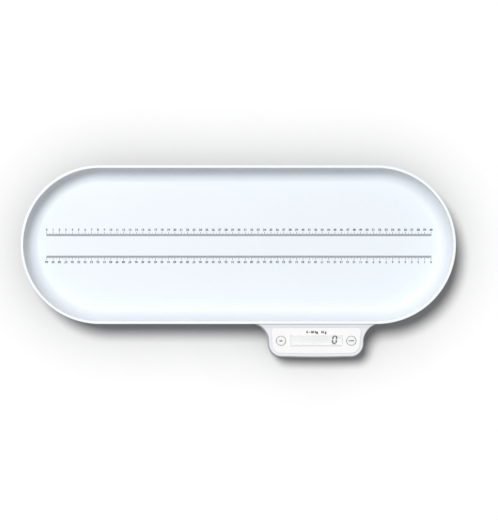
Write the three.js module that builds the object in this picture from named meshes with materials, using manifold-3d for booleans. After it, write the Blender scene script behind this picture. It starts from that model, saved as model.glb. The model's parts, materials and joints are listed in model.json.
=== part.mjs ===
// A digital baby weighing scale: a lift-off tray on a base with four load cells and a console.
// Millimetres, +X along the tray, +Y to the back, +Z up. The origin is under the middle of the scale.

import * as THREE from 'three';
import { mergeVertices } from 'three/addons/utils/BufferGeometryUtils.js';
import Module from 'manifold-3d';

const wasm = await Module();
wasm.setup();

// Fits and allowances
const seatGap = 0.3;
const slideGap = 0.3;
const cutOverrun = 1;

// Tray: a bowl with two round ends, whose wall is a quarter of an ellipse
const trayLength = 675;
const trayWidth = 246;
const trayDepth = 28;
const trayWall = 3;
const rimWidth = 4;
const rimDrop = 3;
const bowlRun = 21.5;
const trayRibHeight = 2.2;
const trayRibWidth = 2;
const trayRibInset = 36;
const trayRibEnd = 14.5;
const trayRibPairs = 2;
const straightLength = trayLength - trayWidth;

// Soft pads between the tray and the base
const padRadius = 11;
const padHeight = 3.4;
const padDish = 1;
const padLengthShare = 0.7;
const padInset = 68;
const padSocketWall = 1.6;
const padSocketHeight = 1.6;

// Base: two shells that meet at the parting height
const baseInset = 12;
const shellWall = 2.5;
const undersideHeight = 7;
const partingHeight = 15;
const platformHeight = 26;
const platformRound = 6;
const undersideRound = 3;
const lapHeight = 2.5;
const shellRibHeight = 5;
const shellRibWidth = 2;
const shellRibSpacingX = 75;
const shellRibPairs = 3;
const shellRibSpacingY = 60;

// Console: its outline is that of its sloping top face, seen from above
const consoleFromEnd = 93.5;
const consoleReach = 50.4;
const consoleWidth = 144;
const consoleCorner = 18;
const consoleBow = 1;
const flareLength = 27;
const flareRadius = 29;
const flareAngle = THREE.MathUtils.degToRad(62);
const flareRun = 14;
const neckRoot = 13;
const flankSpread = 3.5;
const deckRearHeight = 56;
const deckAngle = THREE.MathUtils.degToRad(14);
const deckRound = 2;
const hoodGap = 1;

// Control plate in its recess, measured along the deck from the middle of the display window
const windowFromRim = 24.8;
const plateRise = 0.6;
const plateThickness = 1.6;
const plateRear = 18.7;
const plateFront = 21.4;
const plateRearMargin = 2;
const plateFrontMargin = 5;
const plateRearCorner = 4.5;
const plateFrontCorner = 12.5;

// Display stack
const windowFromButton = 14.1;
const windowHeight = 16;
const windowCorner = 3;
const windowRise = 0.9;
const windowFlange = 2.5;
const windowFlangeThickness = 1;
const glassSideBorder = 1.5;
const glassEdgeBorder = 2;
const glassThickness = 2.2;
const backlightThickness = 2.4;
const contactStripWidth = 2.4;
const holderWall = 3.5;
const holderCorner = 2;

// Buttons and their switches
const buttonFromFlank = 17.4;
const buttonDrop = 1.5;
const buttonHole = 14.5;
const buttonRise = 0.3;
const buttonCrown = 0.3;
const buttonFlange = 1.3;
const buttonFlangeThickness = 1;
const buttonStem = 6;
const buttonTravel = 0.6;
const switchSize = 6;
const switchHeight = 3.2;
const plungerDiameter = 3.4;
const plungerReach = 1.2;
const switchFloor = 0.8;

// Control board
const boardEnd = 4.9;
const boardWidth = 34;
const boardThickness = 1.6;
const boardCorner = 2;
const boardPostRadius = 3;
const boardPostInset = 4.5;
const boardScrewReach = 5;
const boardScrewShank = 1;
const boardScrewHead = 2.2;
const boardScrewHeadHeight = 1.5;
const chipSize = 10;
const chipHeight = 1.4;
const chipOffset = 24;
const socketLength = 24;
const socketWidth = 7;
const socketHeight = 5;
const socketOffset = 17;
const socketPitch = 4;

// Shell screws
const screwShank = 1.45;
const screwHead = 2.8;
const screwHeadHeight = 2;
const screwLength = 10;
const screwTip = 1;
const screwWell = 3;
const screwWeb = 4;
const screwLengthShare = 0.7;
const screwInset = 33;
const screwPostWall = 1.5;
const screwBossRadius = 3.6;
const consoleScrewFromFlank = 7;
const consoleScrewRise = 1;

// Load cells, their holders and the feet
const footInset = 51;
const footPadRadius = 16.5;
const footPadHeight = 3;
const footCupRadius = 18.5;
const footCupHeight = 4.6;
const footStemRadius = 5;
const footGap = 1.5;
const cellSize = 34;
const cellThickness = 2;
const cellBorder = 4;
const cellTongue = 12;
const cellCorner = 3;
const cellNeck = 8;
const cellSlotGap = 3;
const holderMargin = 4;
const holderHeight = 6;
const holderRelief = 2;
const cellSocketWall = 2;
const cellSocketHeight = 4;
const leadNotch = 3.6;
const towerRadius = 15;
const towerWall = 2;

// Battery bay, its door and its contacts
const batteryDiameter = 10.5;
const batteryLength = 44.5;
const batteryCount = 3;
const batteryPitch = 11;
const batteryTip = 0.8;
const batteryTipRadius = 1.9;
const bayFromRim = 78;
const bayEnd = 4;
const bayWall = 1.5;
const bayLedge = 1.5;
const doorOverlap = 1.5;
const doorTravel = 8;
const doorTab = 1.5;
const doorTabLength = 8;
const doorTabSpacing = 16;
const doorTabThickness = 1.2;
const doorLip = 1;
const doorGripWidth = 1.2;
const doorGripDepth = 0.6;
const doorGripLength = 16;
const doorGripPitch = 2.6;
const doorGripCount = 3;
const contactSheet = 0.4;
const contactSpring = 2.2;
const contactWidth = 8;

// Leads
const leadDiameter = 2.2;
const frontLaneFromRim = 42;
const rearLaneFromRim = 49;
const leadRun = 50;
const leadReach = 61;
const leadBend = 10;
const leadDip = 4;

// How finely round shapes are faceted
const endSteps = 16;
const bowlSteps = 6;
const rimSteps = 4;
const roundSteps = 2;
const flareSteps = 5;
const cornerSteps = 3;
const bowSteps = 2;
const roundSides = 18;
const smallSides = 10;
const leadSides = 6;
const leadSteps = 24;

// Heights and places that follow from the sizes above
const trayUnderside = platformHeight - padDish + seatGap + padHeight + seatGap;
const trayFloor = trayUnderside + trayWall;
const rimTop = trayFloor + trayDepth;
const rimFront = -trayWidth / 2;
const footSpacingY = trayWidth - 2 * footInset;
const holderSize = cellSize + 2 * holderMargin;
const consoleOffset = straightLength / 2 - consoleFromEnd;
const buttonSpacing = consoleWidth - 2 * buttonFromFlank;
const windowLength = buttonSpacing - 2 * windowFromButton;
const glassLength = windowLength + 2 * glassSideBorder;
const glassHeight = windowHeight + 2 * glassEdgeBorder;
const boardLength = buttonSpacing + 2 * boardEnd;
const bayY = rimFront + bayFromRim;
const insideFloor = undersideHeight + shellWall;
const ceiling = platformHeight - shellWall;
const deckSlope = Math.tan(deckAngle);
const depthOfScale = trayWidth + consoleReach + flankSpread;
const backOfTray = depthOfScale / 2 - trayWidth / 2;
const doorTop = undersideHeight + shellWall;
const cellBottom = insideFloor + seatGap;
const lapWall = (shellWall - seatGap) / 2;

// Finishes
function finish(color, roughness, metalness = 0) {
  return { color, roughness, metalness };
}
const finishes = {
  trayPlastic: finish(0xf0f5fb, 0.3),
  shellPlastic: finish(0xe6e9ee, 0.38),
  platePlastic: finish(0xf9f9f9, 0.35),
  capPlastic: finish(0xf4f4f4, 0.4),
  clearPlastic: finish(0xf2f4f6, 0.08),
  innerPlastic: finish(0xd9dbdd, 0.5),
  displayGlass: finish(0xdfe3e4, 0.15),
  lightGuide: finish(0xf4f7f4, 0.3),
  contactRubber: finish(0xd98a92, 0.7),
  boardLaminate: finish(0x1f6b45, 0.4),
  blackPlastic: finish(0x222426, 0.5),
  whitePlastic: finish(0xeeeae0, 0.5),
  footRubber: finish(0x8b9096, 0.85),
  steel: finish(0xb9bcc0, 0.35, 1),
  nickel: finish(0xd0cfcb, 0.25, 1),
  leadSheath: finish(0xe7e7e4, 0.55),
  batteryJacket: finish(0x5f7687, 0.35, 0.4),
};

// Solids: booleans on closed geometry
function solidOf(geometry) {
  const bare = geometry.clone();
  bare.deleteAttribute('normal');
  bare.deleteAttribute('uv');
  const merged = mergeVertices(bare);
  return new wasm.Manifold(new wasm.Mesh({
    numProp: 3,
    vertProperties: new Float32Array(merged.attributes.position.array),
    triVerts: new Uint32Array(merged.index.array),
  }));
}

function geometryOf(solid) {
  const mesh = solid.getMesh();
  const geometry = new THREE.BufferGeometry();
  geometry.setAttribute('position', new THREE.BufferAttribute(mesh.vertProperties, 3));
  geometry.setIndex(new THREE.BufferAttribute(mesh.triVerts, 1));
  geometry.computeVertexNormals();
  return geometry;
}

function join(first, ...others) {
  return others.reduce((sum, geometry) => sum.add(solidOf(geometry)), solidOf(first));
}

function build(first, added, removed) {
  const whole = added.reduce((sum, geometry) => sum.add(solidOf(geometry)), solidOf(first));
  return geometryOf(removed.reduce((sum, geometry) => sum.subtract(solidOf(geometry)), whole));
}

// Plain shapes
function box(width, depth, bottom, top, x = 0, y = 0) {
  return new THREE.BoxGeometry(width, depth, top - bottom).translate(x, y, (top + bottom) / 2);
}

function disc(radius, bottom, top, x = 0, y = 0, sides = roundSides) {
  const round = new THREE.CylinderGeometry(radius, radius, top - bottom, sides);
  return round.rotateX(Math.PI / 2).translate(x, y, (top + bottom) / 2);
}

function turned(profile, sides = roundSides) {
  const points = profile.map(([radius, height]) => new THREE.Vector2(radius, height));
  return new THREE.LatheGeometry(points, sides).rotateX(Math.PI / 2);
}

function extruded(shape, bottom, top) {
  const settings = { depth: top - bottom, bevelEnabled: false, curveSegments: cornerSteps };
  return new THREE.ExtrudeGeometry(shape, settings).translate(0, 0, bottom);
}

function roundedRectangle(length, height, corner) {
  const x = length / 2 - corner;
  const y = height / 2 - corner;
  const shape = new THREE.Shape();
  shape.absarc(x, y, corner, 0, Math.PI / 2);
  shape.absarc(-x, y, corner, Math.PI / 2, Math.PI);
  shape.absarc(-x, -y, corner, Math.PI, -Math.PI / 2);
  shape.absarc(x, -y, corner, -Math.PI / 2, 0);
  shape.closePath();
  return shape;
}

// Lofts through outlines that all run the same way round with as many points
function ring(points, heightAt) {
  return points.map((p) => new THREE.Vector3(p.x, p.y, heightAt(p)));
}

function capOf(points, upwards) {
  const faces = THREE.ShapeUtils.triangulateShape(points, []);
  return faces.flatMap(([a, b, c]) => {
    const turn = (points[b].x - points[a].x) * (points[c].y - points[a].y)
      - (points[b].y - points[a].y) * (points[c].x - points[a].x);
    return (turn > 0) === upwards ? [a, b, c] : [a, c, b];
  });
}

function loft(rings) {
  const count = rings[0].length;
  const last = (rings.length - 1) * count;
  const flat = (points) => points.map((p) => new THREE.Vector2(p.x, p.y));
  const faces = capOf(flat(rings[0]), false);
  for (let row = 0; row < last; row += count) {
    for (let i = 0; i < count; i += 1) {
      const a = row + i;
      const b = row + ((i + 1) % count);
      faces.push(a, b, b + count, a, b + count, a + count);
    }
  }
  faces.push(...capOf(flat(rings[rings.length - 1]), true).map((i) => last + i));
  const places = new Float32Array(rings.flat().flatMap((p) => p.toArray()));
  const geometry = new THREE.BufferGeometry();
  geometry.setAttribute('position', new THREE.BufferAttribute(places, 3));
  geometry.setIndex(faces);
  return geometry;
}

function steps(count, from, to) {
  return Array.from({ length: count + 1 }, (unused, i) => from + ((to - from) * i) / count);
}

function arc(x, y, radius, from, to, count) {
  return steps(count, from, to).map(
    (angle) => new THREE.Vector2(x + radius * Math.cos(angle), y + radius * Math.sin(angle)),
  );
}

// Outline of the tray moved inwards by an inset: two half circles and the straights between them
function stadium(inset) {
  const radius = trayWidth / 2 - inset;
  const centre = (trayLength - trayWidth) / 2;
  return [
    ...arc(centre, 0, radius, -Math.PI / 2, Math.PI / 2, endSteps),
    ...arc(-centre, 0, radius, Math.PI / 2, (3 * Math.PI) / 2, endSteps),
  ];
}

// Outline of the console moved outwards: bowed front, round corners, flared neck under the tray
function consoleOutline(outwards) {
  const half = consoleWidth / 2;
  const front = rimFront - consoleReach;
  const corner = consoleCorner + outwards;
  const cornerX = half - consoleCorner;
  const cornerY = front + consoleBow + consoleCorner;
  const flare = flareRadius - outwards;
  const flareY = rimFront - flareLength;
  const side = [
    ...steps(bowSteps, 0, cornerX).slice(0, -1).map((x) => new THREE.Vector2(
      x,
      front - outwards + consoleBow * (x / cornerX) ** 2,
    )),
    ...arc(cornerX, cornerY, corner, -Math.PI / 2, 0, flareSteps),
    ...arc(half + flareRadius, flareY, flare, Math.PI, Math.PI - flareAngle, flareSteps),
  ];
  const end = side[side.length - 1];
  const run = flareRun + outwards * Math.tan(flareAngle / 2);
  const neckX = end.x + run * Math.sin(flareAngle);
  side.push(new THREE.Vector2(neckX, end.y + run * Math.cos(flareAngle)));
  side.push(new THREE.Vector2(neckX, rimFront + baseInset + neckRoot));
  const mirrored = side.slice(1).reverse().map((p) => new THREE.Vector2(-p.x, p.y));
  return [...side, ...mirrored].map((p) => p.add(new THREE.Vector2(consoleOffset, 0)));
}

function slabOutline(outwards) {
  return stadium(baseInset - outwards);
}

function deckHeight(point) {
  return deckRearHeight + (point.y - rimFront) * deckSlope;
}

function level(height) {
  return () => height;
}

// A block whose top edge is rounded over, from an outline low down to an outline at its top
function roundedTop(outline, lowOut, bottom, highOut, top, round) {
  const edge = steps(roundSteps, 0, Math.PI / 2).map((angle) => ring(
    outline(highOut - round * (1 - Math.cos(angle))),
    (p) => top(p) - round * (1 - Math.sin(angle)),
  ));
  return loft([ring(outline(lowOut), level(bottom)), ...edge]);
}

function roundedBottom(outline, out, bottom, top, round) {
  const edge = steps(roundSteps, Math.PI / 2, 0).map((angle) => ring(
    outline(out - round * (1 - Math.cos(angle))),
    level(bottom + round * (1 - Math.sin(angle))),
  ));
  return loft([...edge, ring(outline(out), level(top))]);
}

function straight(outline, out, bottom, top) {
  return loft([ring(outline(out), level(bottom)), ring(outline(out), level(top))]);
}

// Tray
function bowlRings(outwards, from, to) {
  return steps(bowlSteps, from, to).map((angle) => ring(
    stadium(rimWidth + bowlRun - (bowlRun + outwards) * Math.cos(angle)),
    level(rimTop - (trayDepth + outwards) * Math.sin(angle)),
  ));
}

function bowlBlock(outwards) {
  const lid = ring(stadium(rimWidth - outwards), level(rimTop + trayDepth));
  return loft([...bowlRings(outwards, Math.PI / 2, 0), lid]);
}

function padPlaces() {
  return corners(straightLength * padLengthShare, trayWidth - 2 * padInset);
}

function corners(spacingX, spacingY) {
  return [
    { name: 'front_left', x: -spacingX / 2, y: -spacingY / 2 },
    { name: 'front_right', x: spacingX / 2, y: -spacingY / 2 },
    { name: 'rear_left', x: -spacingX / 2, y: spacingY / 2 },
    { name: 'rear_right', x: spacingX / 2, y: spacingY / 2 },
  ];
}

function trayShape() {
  const underRim = Math.asin(rimDrop / (trayDepth + trayWall));
  const insideRim = Math.asin(rimWidth / 2 / trayDepth);
  const lip = steps(rimSteps, Math.PI, 0).map((angle) => ring(
    stadium((rimWidth / 2) * (1 + Math.cos(angle))),
    level(rimTop - (rimWidth / 2) * (1 - Math.sin(angle))),
  ));
  const bowl = loft([
    ...bowlRings(trayWall, Math.PI / 2, underRim),
    ring(stadium(0), level(rimTop - rimDrop)),
    ...lip,
    ...bowlRings(0, insideRim, Math.PI / 2).slice(1),
  ]);
  const ribBottom = trayUnderside - trayRibHeight;
  const ribTop = trayUnderside + trayWall / 2;
  const insideRing = straight(
    stadium, trayRibInset + trayRibWidth, ribBottom - cutOverrun, ribTop + cutOverrun,
  );
  const ringRib = build(straight(stadium, trayRibInset, ribBottom, ribTop), [], [insideRing]);
  const ribReach = trayWidth - 2 * trayRibInset - trayRibWidth;
  const lastRib = straightLength / 2 - trayRibEnd;
  const crossRibs = steps(2 * trayRibPairs, -lastRib, lastRib)
    .map((x) => box(trayRibWidth, ribReach, ribBottom + seatGap, ribTop - seatGap, x));
  const socketRadius = padRadius + seatGap;
  const sockets = padPlaces().map(({ x, y }) => disc(
    socketRadius + padSocketWall,
    trayUnderside - padSocketHeight,
    ribTop,
    x,
    y,
  ));
  const hollows = padPlaces().map(({ x, y }) => disc(
    socketRadius,
    trayUnderside - padSocketHeight - cutOverrun,
    trayUnderside,
    x,
    y,
  ));
  return build(bowl, [ringRib, ...crossRibs, ...sockets], hollows);
}

// Base shells
function upperBlock(inwards, bottom) {
  const slab = roundedTop(
    slabOutline, -inwards, bottom, -inwards, level(platformHeight - inwards), platformRound - inwards,
  );
  const drop = inwards / Math.cos(deckAngle);
  const hoodTop = (p) => deckHeight(p) - drop;
  const hoodRound = Math.max(deckRound - inwards, seatGap);
  const hood = roundedTop(
    consoleOutline, flankSpread - inwards, bottom, deckRound / 2 - inwards, hoodTop, hoodRound,
  );
  return build(slab, [hood], [bowlBlock(trayWall + hoodGap + inwards)]);
}

function lowerBlock(inwards, top) {
  const bottom = undersideHeight + inwards;
  const round = Math.max(undersideRound - inwards, seatGap);
  return geometryOf(join(
    roundedBottom(slabOutline, -inwards, bottom, top, round),
    roundedBottom(consoleOutline, flankSpread - inwards, bottom, top, round),
  ));
}

function partingBlock(inwards, bottom, top) {
  return geometryOf(join(
    straight(slabOutline, -inwards, bottom, top),
    straight(consoleOutline, flankSpread - inwards, bottom, top),
  ));
}

// The deck's own frame: its origin is the middle of the display window on the top face
const deckOrigin = new THREE.Vector3(consoleOffset, rimFront - windowFromRim, 0);
deckOrigin.z = deckHeight(deckOrigin);
const deckFrame = new THREE.Matrix4()
  .makeRotationX(deckAngle)
  .setPosition(deckOrigin);

function onDeck(geometry) {
  return geometry.clone().applyMatrix4(deckFrame);
}

// Depths below the deck's top face, along its normal
const plateBottom = plateRise - plateThickness;
const recessFloor = plateBottom - seatGap;
const flangeTop = plateBottom - seatGap;
const flangeBottom = flangeTop - windowFlangeThickness;
const glassTop = flangeBottom - seatGap;
const glassBottom = glassTop - glassThickness;
const backlightTop = glassBottom - seatGap;
const backlightBottom = backlightTop - backlightThickness;
const boardTop = backlightBottom - seatGap;
const boardBottom = boardTop - boardThickness;
const holderTop = -shellWall - seatGap;
const switchTop = boardTop + seatGap + switchHeight;
const plungerTop = switchTop + plungerReach;
const buttonPlaces = [
  { name: 'unit', x: -buttonSpacing / 2, y: -buttonDrop },
  { name: 'power', x: buttonSpacing / 2, y: -buttonDrop },
];
const boardPostPlaces = corners(buttonSpacing, boardWidth - 2 * boardPostInset);
const boardScrewPlaces = boardPostPlaces.filter(({ x, y }) => x * y < 0);

function plateOutline(outwards) {
  const shape = new THREE.Shape();
  const rear = plateRear + outwards;
  const front = -plateFront - outwards;
  const rearCorner = plateRearCorner + outwards;
  const frontCorner = plateFrontCorner + outwards;
  const rearX = consoleWidth / 2 - plateRearMargin + outwards - rearCorner;
  const frontX = consoleWidth / 2 - plateFrontMargin + outwards - frontCorner;
  shape.absarc(rearX, rear - rearCorner, rearCorner, 0, Math.PI / 2);
  shape.absarc(-rearX, rear - rearCorner, rearCorner, Math.PI / 2, Math.PI);
  shape.absarc(-frontX, front + frontCorner, frontCorner, Math.PI, (3 * Math.PI) / 2);
  shape.quadraticCurveTo(0, front - 2 * consoleBow, frontX, front);
  shape.absarc(frontX, front + frontCorner, frontCorner, -Math.PI / 2, 0);
  shape.closePath();
  return shape;
}

// Load cells and shell screws
const cellPlaces = corners(straightLength, footSpacingY);
const slabScrewPlaces = corners(straightLength * screwLengthShare, trayWidth - 2 * screwInset);
const consoleScrewPlaces = ['console_left', 'console_right'].map((name, i) => ({
  name,
  x: consoleOffset + (2 * i - 1) * (consoleWidth / 2 - consoleScrewFromFlank),
  y: deckOrigin.y + consoleScrewRise,
}));
const screwPlaces = [...slabScrewPlaces, ...consoleScrewPlaces];
const webBottom = undersideHeight + screwWell;
const webTop = webBottom + screwWeb;
const screwSeat = webBottom - seatGap;

// Battery bay
const bayLength = batteryLength + 2 * bayEnd;
const bayWidth = batteryCount * batteryPitch + seatGap;
const bayFloor = doorTop + seatGap;
const bayRoof = bayFloor + batteryDiameter + seatGap;
const doorWidth = bayLength + 2 * doorOverlap;
const doorLength = bayWidth + 2 * doorOverlap;
const frameEdge = doorTab + slideGap + bayWall;

function doorTabPlaces() {
  return [-1, 1].flatMap((side) => [-1, 1].map((row) => ({
    x: consoleOffset + side * (doorWidth / 2),
    y: bayY + (row * doorTabSpacing) / 2,
  })));
}

function lowerShellShape() {
  const outside = lowerBlock(0, partingHeight);
  const lap = partingBlock(shellWall - lapWall, partingHeight - cutOverrun, partingHeight + lapHeight);
  const inside = lowerBlock(shellWall, partingHeight + lapHeight + cutOverrun);
  const hull = geometryOf(join(outside, lap).subtract(solidOf(inside)));

  const socketReach = holderSize / 2 + seatGap;
  const sockets = cellPlaces.map(({ x, y }) => geometryOf(
    solidOf(box(
      2 * (socketReach + cellSocketWall), 2 * (socketReach + cellSocketWall),
      insideFloor - shellWall / 2, insideFloor + cellSocketHeight, x, y,
    )).subtract(solidOf(box(
      2 * socketReach, 2 * socketReach, undersideHeight, insideFloor + cellSocketHeight + cutOverrun, x, y,
    ))),
  ));
  const notches = cellPlaces.map(({ x, y }) => box(
    2 * cellSocketWall + seatGap + cutOverrun,
    leadNotch,
    insideFloor,
    insideFloor + cellSocketHeight + cutOverrun,
    x - Math.sign(x) * (socketReach + cellSocketWall / 2),
    y,
  ));
  const footHoles = cellPlaces.map(({ x, y }) => disc(
    footCupRadius + footGap, undersideHeight - cutOverrun, insideFloor + cutOverrun, x, y,
  ));

  const posts = screwPlaces.map(({ x, y }) => disc(
    screwHead + seatGap + screwPostWall, undersideHeight + undersideRound / 2, webTop, x, y, smallSides,
  ));
  const wells = screwPlaces.map(({ x, y }) => disc(
    screwHead + seatGap, undersideHeight - cutOverrun, webBottom, x, y, smallSides,
  ));
  const shankHoles = screwPlaces.map(({ x, y }) => disc(
    screwShank + seatGap, undersideHeight, webTop + cutOverrun, x, y, smallSides,
  ));

  const frameTop = bayFloor + bayLedge;
  const frame = box(
    doorWidth + 2 * frameEdge,
    doorLength + 2 * frameEdge + doorTravel,
    insideFloor - shellWall / 2,
    frameTop,
    consoleOffset,
    bayY + doorTravel / 2,
  );
  const walls = box(
    bayLength + 2 * bayWall, bayWidth + 2 * bayWall, insideFloor, bayRoof + bayWall, consoleOffset, bayY,
  );
  const bay = box(bayLength, bayWidth, undersideHeight, bayRoof, consoleOffset, bayY);
  const doorway = box(
    doorWidth + 2 * slideGap,
    doorLength + 2 * slideGap + doorTravel,
    undersideHeight - cutOverrun,
    bayFloor,
    consoleOffset,
    bayY + doorTravel / 2,
  );
  const tabReach = doorTab + slideGap;
  const grooves = doorTabPlaces().map(({ x, y }) => box(
    2 * tabReach,
    doorTabLength + 2 * slideGap + doorTravel,
    undersideHeight + doorLip,
    bayFloor,
    x,
    y + doorTravel / 2,
  ));
  const dropSlots = doorTabPlaces().map(({ x, y }) => box(
    2 * tabReach,
    doorTabLength + 2 * slideGap,
    undersideHeight - cutOverrun,
    bayFloor,
    x,
    y + doorTravel,
  ));
  return build(
    hull,
    [...sockets, ...posts, frame, walls],
    [...notches, ...footHoles, ...wells, ...shankHoles, bay, doorway, ...grooves, ...dropSlots],
  );
}

function upperShellShape() {
  const outside = upperBlock(0, partingHeight + seatGap);
  const inside = upperBlock(shellWall, partingHeight - cutOverrun);
  const groove = partingBlock(lapWall, partingHeight - cutOverrun, partingHeight + lapHeight + seatGap);
  const hull = geometryOf(solidOf(outside).subtract(solidOf(inside)).subtract(solidOf(groove)));

  // Ribs, bosses and load towers hang from the platform, within the slab's inside
  const ribBottom = ceiling - shellRibHeight;
  const ribTop = ceiling + shellWall / 2;
  const slabInside = solidOf(straight(slabOutline, -shellWall - seatGap, ribBottom - shellWall, ribTop));
  const crossRibs = steps(2 * shellRibPairs, -shellRibPairs, shellRibPairs)
    .map((i) => box(shellRibWidth, trayWidth, ribBottom, ribTop, i * shellRibSpacingX));
  const longRibs = [-1, 1].map((side) => box(
    straightLength, shellRibWidth, ribBottom, ribTop, 0, (side * shellRibSpacingY) / 2,
  ));
  const bayRoom = box(
    bayLength + 2 * (bayWall + seatGap), bayWidth + 2 * (bayWall + seatGap),
    ribBottom - cutOverrun, ceiling, consoleOffset, bayY,
  );
  const grid = join(...crossRibs, ...longRibs).intersect(slabInside);
  const ribs = geometryOf(grid.subtract(solidOf(bayRoom)));
  const bosses = slabScrewPlaces.map(({ x, y }) => disc(
    screwBossRadius, webTop + seatGap, ribTop, x, y, smallSides,
  ));
  const consoleBosses = consoleScrewPlaces.map((place) => disc(
    screwBossRadius, webTop + seatGap, deckHeight(place) - shellWall / 2, place.x, place.y, smallSides,
  ));
  const pilots = screwPlaces.map(({ x, y }) => disc(
    screwShank + seatGap, webTop, screwSeat + screwLength + cutOverrun, x, y, smallSides,
  ));
  const towerBottom = insideFloor + seatGap + holderHeight + seatGap;
  const towers = cellPlaces.map(({ x, y }) => disc(towerRadius, towerBottom, ribTop, x, y));
  const towerBores = cellPlaces.map(({ x, y }) => disc(
    towerRadius - towerWall, towerBottom - cutOverrun, ceiling, x, y,
  ));
  const dishes = padPlaces().map(({ x, y }) => disc(
    padRadius + padSocketWall / 2, platformHeight - padDish, platformHeight + cutOverrun, x, y,
  ));

  // Openings of the deck and the posts that carry the control board
  const recess = extruded(plateOutline(seatGap), recessFloor, cutOverrun);
  const aroundWindow = 2 * (windowFlange + seatGap);
  const opening = extruded(
    roundedRectangle(windowLength + aroundWindow, windowHeight + aroundWindow, windowCorner),
    -shellWall - cutOverrun,
    0,
  );
  const buttonRooms = buttonPlaces.map(({ x, y }) => disc(
    buttonHole / 2 + buttonFlange + slideGap, -shellWall - cutOverrun, 0, x, y,
  ));
  const boardPosts = boardPostPlaces.map(({ x, y }) => disc(
    boardPostRadius, boardTop + seatGap, -shellWall / 2 - plateThickness / 2, x, y, smallSides,
  ));
  const boardPilots = boardScrewPlaces.map(({ x, y }) => disc(
    boardScrewShank + seatGap, boardTop, -shellWall, x, y, smallSides,
  ));
  return build(
    hull,
    [ribs, ...bosses, ...consoleBosses, ...towers, ...boardPosts.map(onDeck)],
    [...pilots, ...towerBores, ...dishes, ...[recess, opening, ...buttonRooms, ...boardPilots].map(onDeck)],
  );
}

// Control plate, window and buttons, in the deck's frame
function plateShape() {
  const opening = roundedRectangle(windowLength + 2 * seatGap, windowHeight + 2 * seatGap, windowCorner);
  return build(
    extruded(plateOutline(0), plateBottom, plateRise),
    [],
    [
      extruded(opening, plateBottom - cutOverrun, plateRise + cutOverrun),
      ...buttonPlaces.map(({ x, y }) => disc(
        buttonHole / 2, plateBottom - cutOverrun, plateRise + cutOverrun, x, y,
      )),
    ],
  );
}

function windowShape() {
  const lens = roundedRectangle(windowLength, windowHeight, windowCorner);
  const flange = roundedRectangle(
    windowLength + 2 * windowFlange, windowHeight + 2 * windowFlange, windowCorner,
  );
  return build(
    extruded(lens, flangeBottom, plateRise + windowRise),
    [extruded(flange, flangeBottom, flangeTop)],
    [],
  );
}

function buttonShape() {
  const radius = buttonHole / 2 - slideGap;
  const top = plateRise + buttonRise;
  return turned([
    [0, plungerTop + seatGap],
    [buttonStem / 2, plungerTop + seatGap],
    [buttonStem / 2, flangeTop - buttonFlangeThickness],
    [buttonHole / 2 + buttonFlange, flangeTop - buttonFlangeThickness],
    [buttonHole / 2 + buttonFlange, flangeTop],
    [radius, flangeTop],
    [radius, top - buttonCrown],
    [radius - buttonCrown, top],
    [0, top],
  ]);
}

function plungerShape() {
  const lowest = boardTop + seatGap + switchFloor + slideGap;
  return disc(plungerDiameter / 2, lowest + buttonTravel, plungerTop, 0, 0, smallSides);
}

function switchShape() {
  const bore = plungerDiameter / 2 + slideGap;
  return build(
    box(switchSize, switchSize, boardTop + seatGap, switchTop),
    [],
    [disc(bore, boardTop + seatGap + switchFloor, switchTop + cutOverrun, 0, 0, smallSides)],
  );
}

// Display stack and board, in the deck's frame
function displayHolderShape() {
  const inner = roundedRectangle(glassLength + 2 * seatGap, glassHeight + 2 * seatGap, seatGap);
  const outer = roundedRectangle(glassLength + 2 * holderWall, glassHeight + 2 * holderWall, holderCorner);
  return build(
    extruded(outer, backlightBottom, holderTop),
    [],
    [extruded(inner, backlightBottom - cutOverrun, holderTop + cutOverrun)],
  );
}

function boardShape() {
  return build(
    extruded(roundedRectangle(boardLength, boardWidth, boardCorner), boardBottom, boardTop),
    [],
    boardScrewPlaces.map(({ x, y }) => disc(
      boardScrewShank + seatGap, boardBottom - cutOverrun, boardTop + cutOverrun, x, y, smallSides,
    )),
  );
}

function screwShape(shank, head, headHeight, length, tip) {
  return turned([
    [0, -headHeight],
    [head, -headHeight],
    [head, 0],
    [shank, 0],
    [shank, length - tip],
    [0, length],
  ], smallSides);
}

// Load cell: a steel plate whose middle tongue hangs on one side of its border
function cellShape() {
  const inner = cellSize - 2 * cellBorder;
  const neckY = (inner - cellTongue) / 4 + cellTongue / 2;
  const low = -cutOverrun;
  const high = cellThickness + cutOverrun;
  const slot = build(
    extruded(roundedRectangle(inner, inner, cellCorner), low, high),
    [],
    [
      disc((cellTongue + cellSlotGap) / 2, low - cutOverrun, high + cutOverrun),
      box(cellNeck, 2 * neckY, low - cutOverrun, high + cutOverrun, 0, neckY),
    ],
  );
  return build(extruded(roundedRectangle(cellSize, cellSize, cellCorner), 0, cellThickness), [], [slot]);
}

function cellHolderShape(side) {
  const pocket = cellSize + 2 * seatGap;
  return build(
    box(holderSize, holderSize, 0, holderHeight),
    [],
    [
      box(pocket, pocket, -cutOverrun, cellThickness + seatGap),
      disc(cellTongue, 0, cellThickness + seatGap + holderRelief),
      box(
        holderSize / 2, leadNotch, -cutOverrun, leadDiameter + 2 * seatGap,
        (-side * (holderSize + pocket)) / 4,
      ),
    ],
  );
}

function footCupShape() {
  const bottom = footPadHeight + seatGap;
  const top = bottom + footCupHeight;
  return turned([
    [0, bottom],
    [footCupRadius - footGap / 2, bottom],
    [footCupRadius, bottom + footGap / 2],
    [footCupRadius, top],
    [footStemRadius, top],
    [footStemRadius, cellBottom - seatGap],
    [0, cellBottom - seatGap],
  ]);
}

function footPadShape() {
  return turned([
    [0, 0],
    [footPadRadius - footGap / 2, 0],
    [footPadRadius, footGap / 2],
    [footPadRadius, footPadHeight],
    [0, footPadHeight],
  ]);
}

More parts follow.
